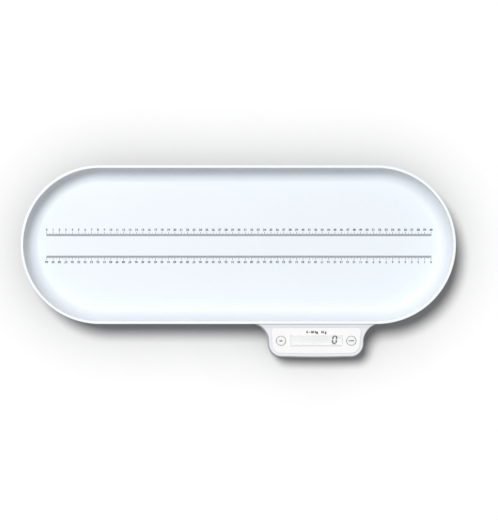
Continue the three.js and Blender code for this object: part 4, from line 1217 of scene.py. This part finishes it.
class BABYSCALE_OT_feet(bpy.types.Operator):
    """Build the four feet with their rubber pads"""

    bl_idname = "baby_scale.feet"
    bl_label = "Feet"

    def execute(self, context):
        for corner in CORNERS:
            cup, pad = f"foot_cup_{corner}", f"foot_pad_{corner}"
            place, radius, low, high = round_node(cup)
            shoulder = low + CUP_HIGH
            points = [
                (0, low), *section(radius, low, CUP_FOOT), *section(radius, shoulder, CUP_SHOULDER),
                (CUP_STUD, shoulder), (CUP_STUD, high), (0, high),
            ]
            piece(solid(f"cup_{corner}", turned, points, place=place), "base", "shell_abs", (cup,))
            radius, low, high = round_node(pad)[1:]
            grooves = [point for ring in SOLE_RINGS for point in section(ring, low, SOLE_GROOVE)]
            points = [(0, low), *grooves, *section(radius, low, SOLE_EDGE), (radius, high), (0, high)]
            piece(solid(f"sole_{corner}", turned, points, place=place), "base", "pad_rubber", (pad,))
        return {"FINISHED"}


def build_door():
    """The battery door with its four tabs and three grip grooves."""
    low, high = corners_of("battery_door")
    centre = (low + high) / 2
    corner, tab_low = 0.4 * MM, high.z - 1.2 * MM
    door = solid(
        "door", rectangle_block, high.x - low.x - 2 * TAB, high.y - low.y, corner, low.z, high.z,
        place=Matrix.Translation((centre.x, centre.y, 0)),
    )
    tabs = [
        solid("tab", brick, (x - TAB, y - TAB_HALF, tab_low), (x + TAB, y + TAB_HALF, high.z))
        for x in (low.x + TAB, high.x - TAB) for y in (centre.y + row for row in TAB_ROWS)
    ]
    # Three grooves across the front half: half their length, half their width, their depth and spacing
    long, wide, deep, spacing = 8 * MM, 0.6 * MM, 0.6 * MM, 2.6 * MM
    first, left, right = centre.y - (high.y - low.y) / 4, centre.x - long, centre.x + long
    grips = [
        solid("grip", brick, (left, y - wide, low.z - OVERRUN), (right, y + wide, low.z + deep))
        for y in (first + i * spacing for i in range(3))
    ]
    combine(door, union=tabs, difference=grips)
    piece(door, "battery_door", "shell_abs", ("battery_door",), edge=0.2 * MM)


def build_screw(corner):
    """A screw with a thread and a cross recess."""
    node = f"shell_screw_{corner}"
    place, head, low, high = round_node(node)
    seat = low + HEAD_HIGH
    thread = []
    height = seat + 1.5 * PITCH
    while height < high - 2.5 * PITCH:
        thread += section(SHANK, height, SCREW_THREAD)
        height += PITCH
    points = [
        (0, low), *section(head, low, SCREW_HEAD), (head, seat), (SHANK, seat), *thread,
        *section(SHANK, high, SCREW_TIP), (0, high),
    ]
    screw = solid(f"screw_{corner}", turned, points, SCREW_STEPS, place=place)
    arm, half, deep = 1.5 * MM, 0.35 * MM, 1.1 * MM
    cross = [
        solid("cross", brick, (-x, -y, low - OVERRUN), (x, y, low + deep), place=place)
        for x, y in ((arm, half), (half, arm))
    ]
    combine(screw, difference=cross)
    piece(screw, "base", "screw_steel", (node,))


class BABYSCALE_OT_underside(bpy.types.Operator):
    """Build the battery door and the shell screws"""

    bl_idname = "baby_scale.underside"
    bl_label = "Door and Screws"

    def execute(self, context):
        build_door()
        for corner in SCREWS:
            build_screw(corner)
        return {"FINISHED"}


class BABYSCALE_OT_finishes(bpy.types.Operator):
    """Give every CAD node the finish of its material slot"""

    bl_idname = "baby_scale.finishes"
    bl_label = "Finishes of the Inner Parts"

    def execute(self, context):
        for entry in frame["record"]["subparts"]:
            node = frame["nodes"][entry["node"]]
            finish = finish_of(entry["material_slot"])
            if not node.material_slots:
                node.data.materials.append(finish)
            for holder in node.material_slots:
                holder.material = finish
        return {"FINISHED"}


# Stage


def table_finish(settings):
    """White lacquered board: dead even, with painted shade where the scale stands over it and beside it."""
    stage, tone = settings.stage, settings.colours.floor
    table = bpy.data.materials.new("table_top_lacquered")
    tree = empty_tree(table)
    table.cycles.emission_sampling = "NONE"
    # Painted shade: ambient occlusion darkens the table's colour under and beside the scale
    open_sky = add_node(
        tree, "ShaderNodeAmbientOcclusion", {"Distance": stage.nearby}, samples=16, only_local=False
    )
    painted_shade = add_node(
        tree, "ShaderNodeMapRange",
        {"Value": open_sky.outputs["AO"], "To Min": 1 - stage.hollow, "To Max": 1},
    )
    shade = add_node(
        tree, "ShaderNodeMix", {0: painted_shade.outputs["Result"], 6: BLACK, 7: shaded(tone)}, data_type="RGBA"
    )
    shown = add_node(tree, "ShaderNodeBsdfDiffuse", {"Color": shade.outputs[2]}).outputs["BSDF"]
    # Light that comes back from it is held down, so that the shadow stays as deep as in the photograph
    back = add_node(tree, "ShaderNodeBsdfDiffuse", {"Color": shaded(tone, stage.bounce)}).outputs["BSDF"]
    # A weak even light from the table, so that the underside isn't lost in the dark
    lift = add_node(tree, "ShaderNodeEmission", {"Color": WHITE, "Strength": stage.lift})
    given = add_node(tree, "ShaderNodeAddShader", {0: back, 1: lift.outputs["Emission"]}).outputs["Shader"]
    camera_ray = add_node(tree, "ShaderNodeLightPath").outputs["Is Camera Ray"]
    above = add_node(tree, "ShaderNodeMixShader", {0: camera_ray, 1: given, 2: shown}).outputs["Shader"]
    # Clear from below, so that the underside can be seen
    from_below = add_node(tree, "ShaderNodeNewGeometry").outputs["Backfacing"]
    clear = add_node(tree, "ShaderNodeBsdfTransparent").outputs["BSDF"]
    mixed = add_node(tree, "ShaderNodeMixShader", {0: from_below, 1: above, 2: clear})
    add_node(tree, "ShaderNodeOutputMaterial", {"Surface": mixed.outputs["Shader"]})
    return table


def studio_world(stage):
    """Even light from all round, before a white backdrop."""
    world = bpy.data.worlds.new("studio")
    tree = empty_tree(world)
    path = add_node(tree, "ShaderNodeLightPath").outputs
    straight_on = add_node(
        tree, "ShaderNodeMath", {0: path["Is Camera Ray"], 1: path["Is Glossy Ray"]}, operation="MAXIMUM"
    )
    shown = add_node(
        tree, "ShaderNodeMath", {0: straight_on.outputs[0], 1: path["Is Transmission Ray"]},
        operation="MAXIMUM",
    )
    sky = add_node(tree, "ShaderNodeBackground", {"Color": WHITE, "Strength": stage.sky})
    backdrop = add_node(tree, "ShaderNodeBackground", {"Color": WHITE, "Strength": 1})
    mixed = add_node(
        tree, "ShaderNodeMixShader",
        {0: shown.outputs[0], 1: sky.outputs["Background"], 2: backdrop.outputs["Background"]},
    )
    add_node(tree, "ShaderNodeOutputWorld", {"Surface": mixed.outputs["Shader"]})
    return world


class BABYSCALE_OT_stage(bpy.types.Operator):
    """Set up the table, the light and the camera"""

    bl_idname = "baby_scale.stage"
    bl_label = "Stage"

    def execute(self, context):
        scene = context.scene
        stage = scene.baby_scale.stage
        scene.view_settings.view_transform = "Standard"
        bm = bmesh.new()
        bmesh.ops.create_grid(bm, x_segments=1, y_segments=1, size=stage.floor / 2)
        floor = made_object("table_top", bm)
        floor.data.materials.append(table_finish(scene.baby_scale))

        sun = bpy.data.lights.new("key", "SUN")
        sun.energy = stage.key * math.pi / math.sin(stage.key_rise)
        sun.angle = stage.key_soft
        key = bpy.data.objects.new("key", sun)
        context.collection.objects.link(key)
        rise, turn = stage.key_rise, stage.key_turn
        out = Vector((math.cos(turn) * math.cos(rise), math.sin(turn) * math.cos(rise), math.sin(rise)))
        key.rotation_mode = "QUATERNION"
        key.rotation_quaternion = out.to_track_quat("Z", "Y")
        scene.world = studio_world(stage)

        lens = bpy.data.cameras.new("camera")
        lens.lens = stage.lens
        lens.sensor_width = 36
        lens.sensor_fit = "AUTO"
        lens.clip_start = 0.05
        lens.clip_end = 1000
        camera = bpy.data.objects.new("camera", lens)
        camera.location = (stage.camera_right, stage.camera_back, stage.camera_high)
        context.collection.objects.link(camera)
        scene.camera = camera
        return {"FINISHED"}


STEPS = (
    BABYSCALE_OT_tray, BABYSCALE_OT_rulers, BABYSCALE_OT_upper_shell, BABYSCALE_OT_lower_shell,
    BABYSCALE_OT_controls, BABYSCALE_OT_buttons, BABYSCALE_OT_feet, BABYSCALE_OT_underside,
    BABYSCALE_OT_finishes, BABYSCALE_OT_stage,
)


class BABYSCALE_PT_panel(bpy.types.Panel):
    """Settings and building steps of the baby weighing scale"""

    bl_idname = "BABYSCALE_PT_panel"
    bl_label = "Baby Scale"
    bl_space_type = "VIEW_3D"
    bl_region_type = "UI"
    bl_category = "Baby Scale"

    def draw(self, context):
        settings = context.scene.baby_scale
        for name in ("tray", "rulers", "base", "console", "controls", "colours", "stage"):
            group = getattr(settings, name)
            box = self.layout.box()
            box.label(text=name.capitalize())
            for key in group.bl_rna.properties.keys():
                if key not in ("rna_type", "name"):
                    box.prop(group, key)
        for step in STEPS:
            self.layout.operator(step.bl_idname)


CLASSES = (
    TraySizes, RulerSizes, BaseSizes, ConsoleSizes, ControlSizes, Colours, StageSizes, ScaleSettings,
    *STEPS, BABYSCALE_PT_panel,
)


def register():
    for kind in CLASSES:
        bpy.utils.register_class(kind)
    bpy.types.Scene.baby_scale = PointerProperty(type=ScaleSettings)


def unregister():
    del bpy.types.Scene.baby_scale
    for kind in reversed(CLASSES):
        bpy.utils.unregister_class(kind)


def main():
    register()
    for step in STEPS:
        group, name = step.bl_idname.split(".")
        getattr(getattr(bpy.ops, group), name)()
    bpy.context.view_layer.update()


if __name__ == "__main__":
    main()
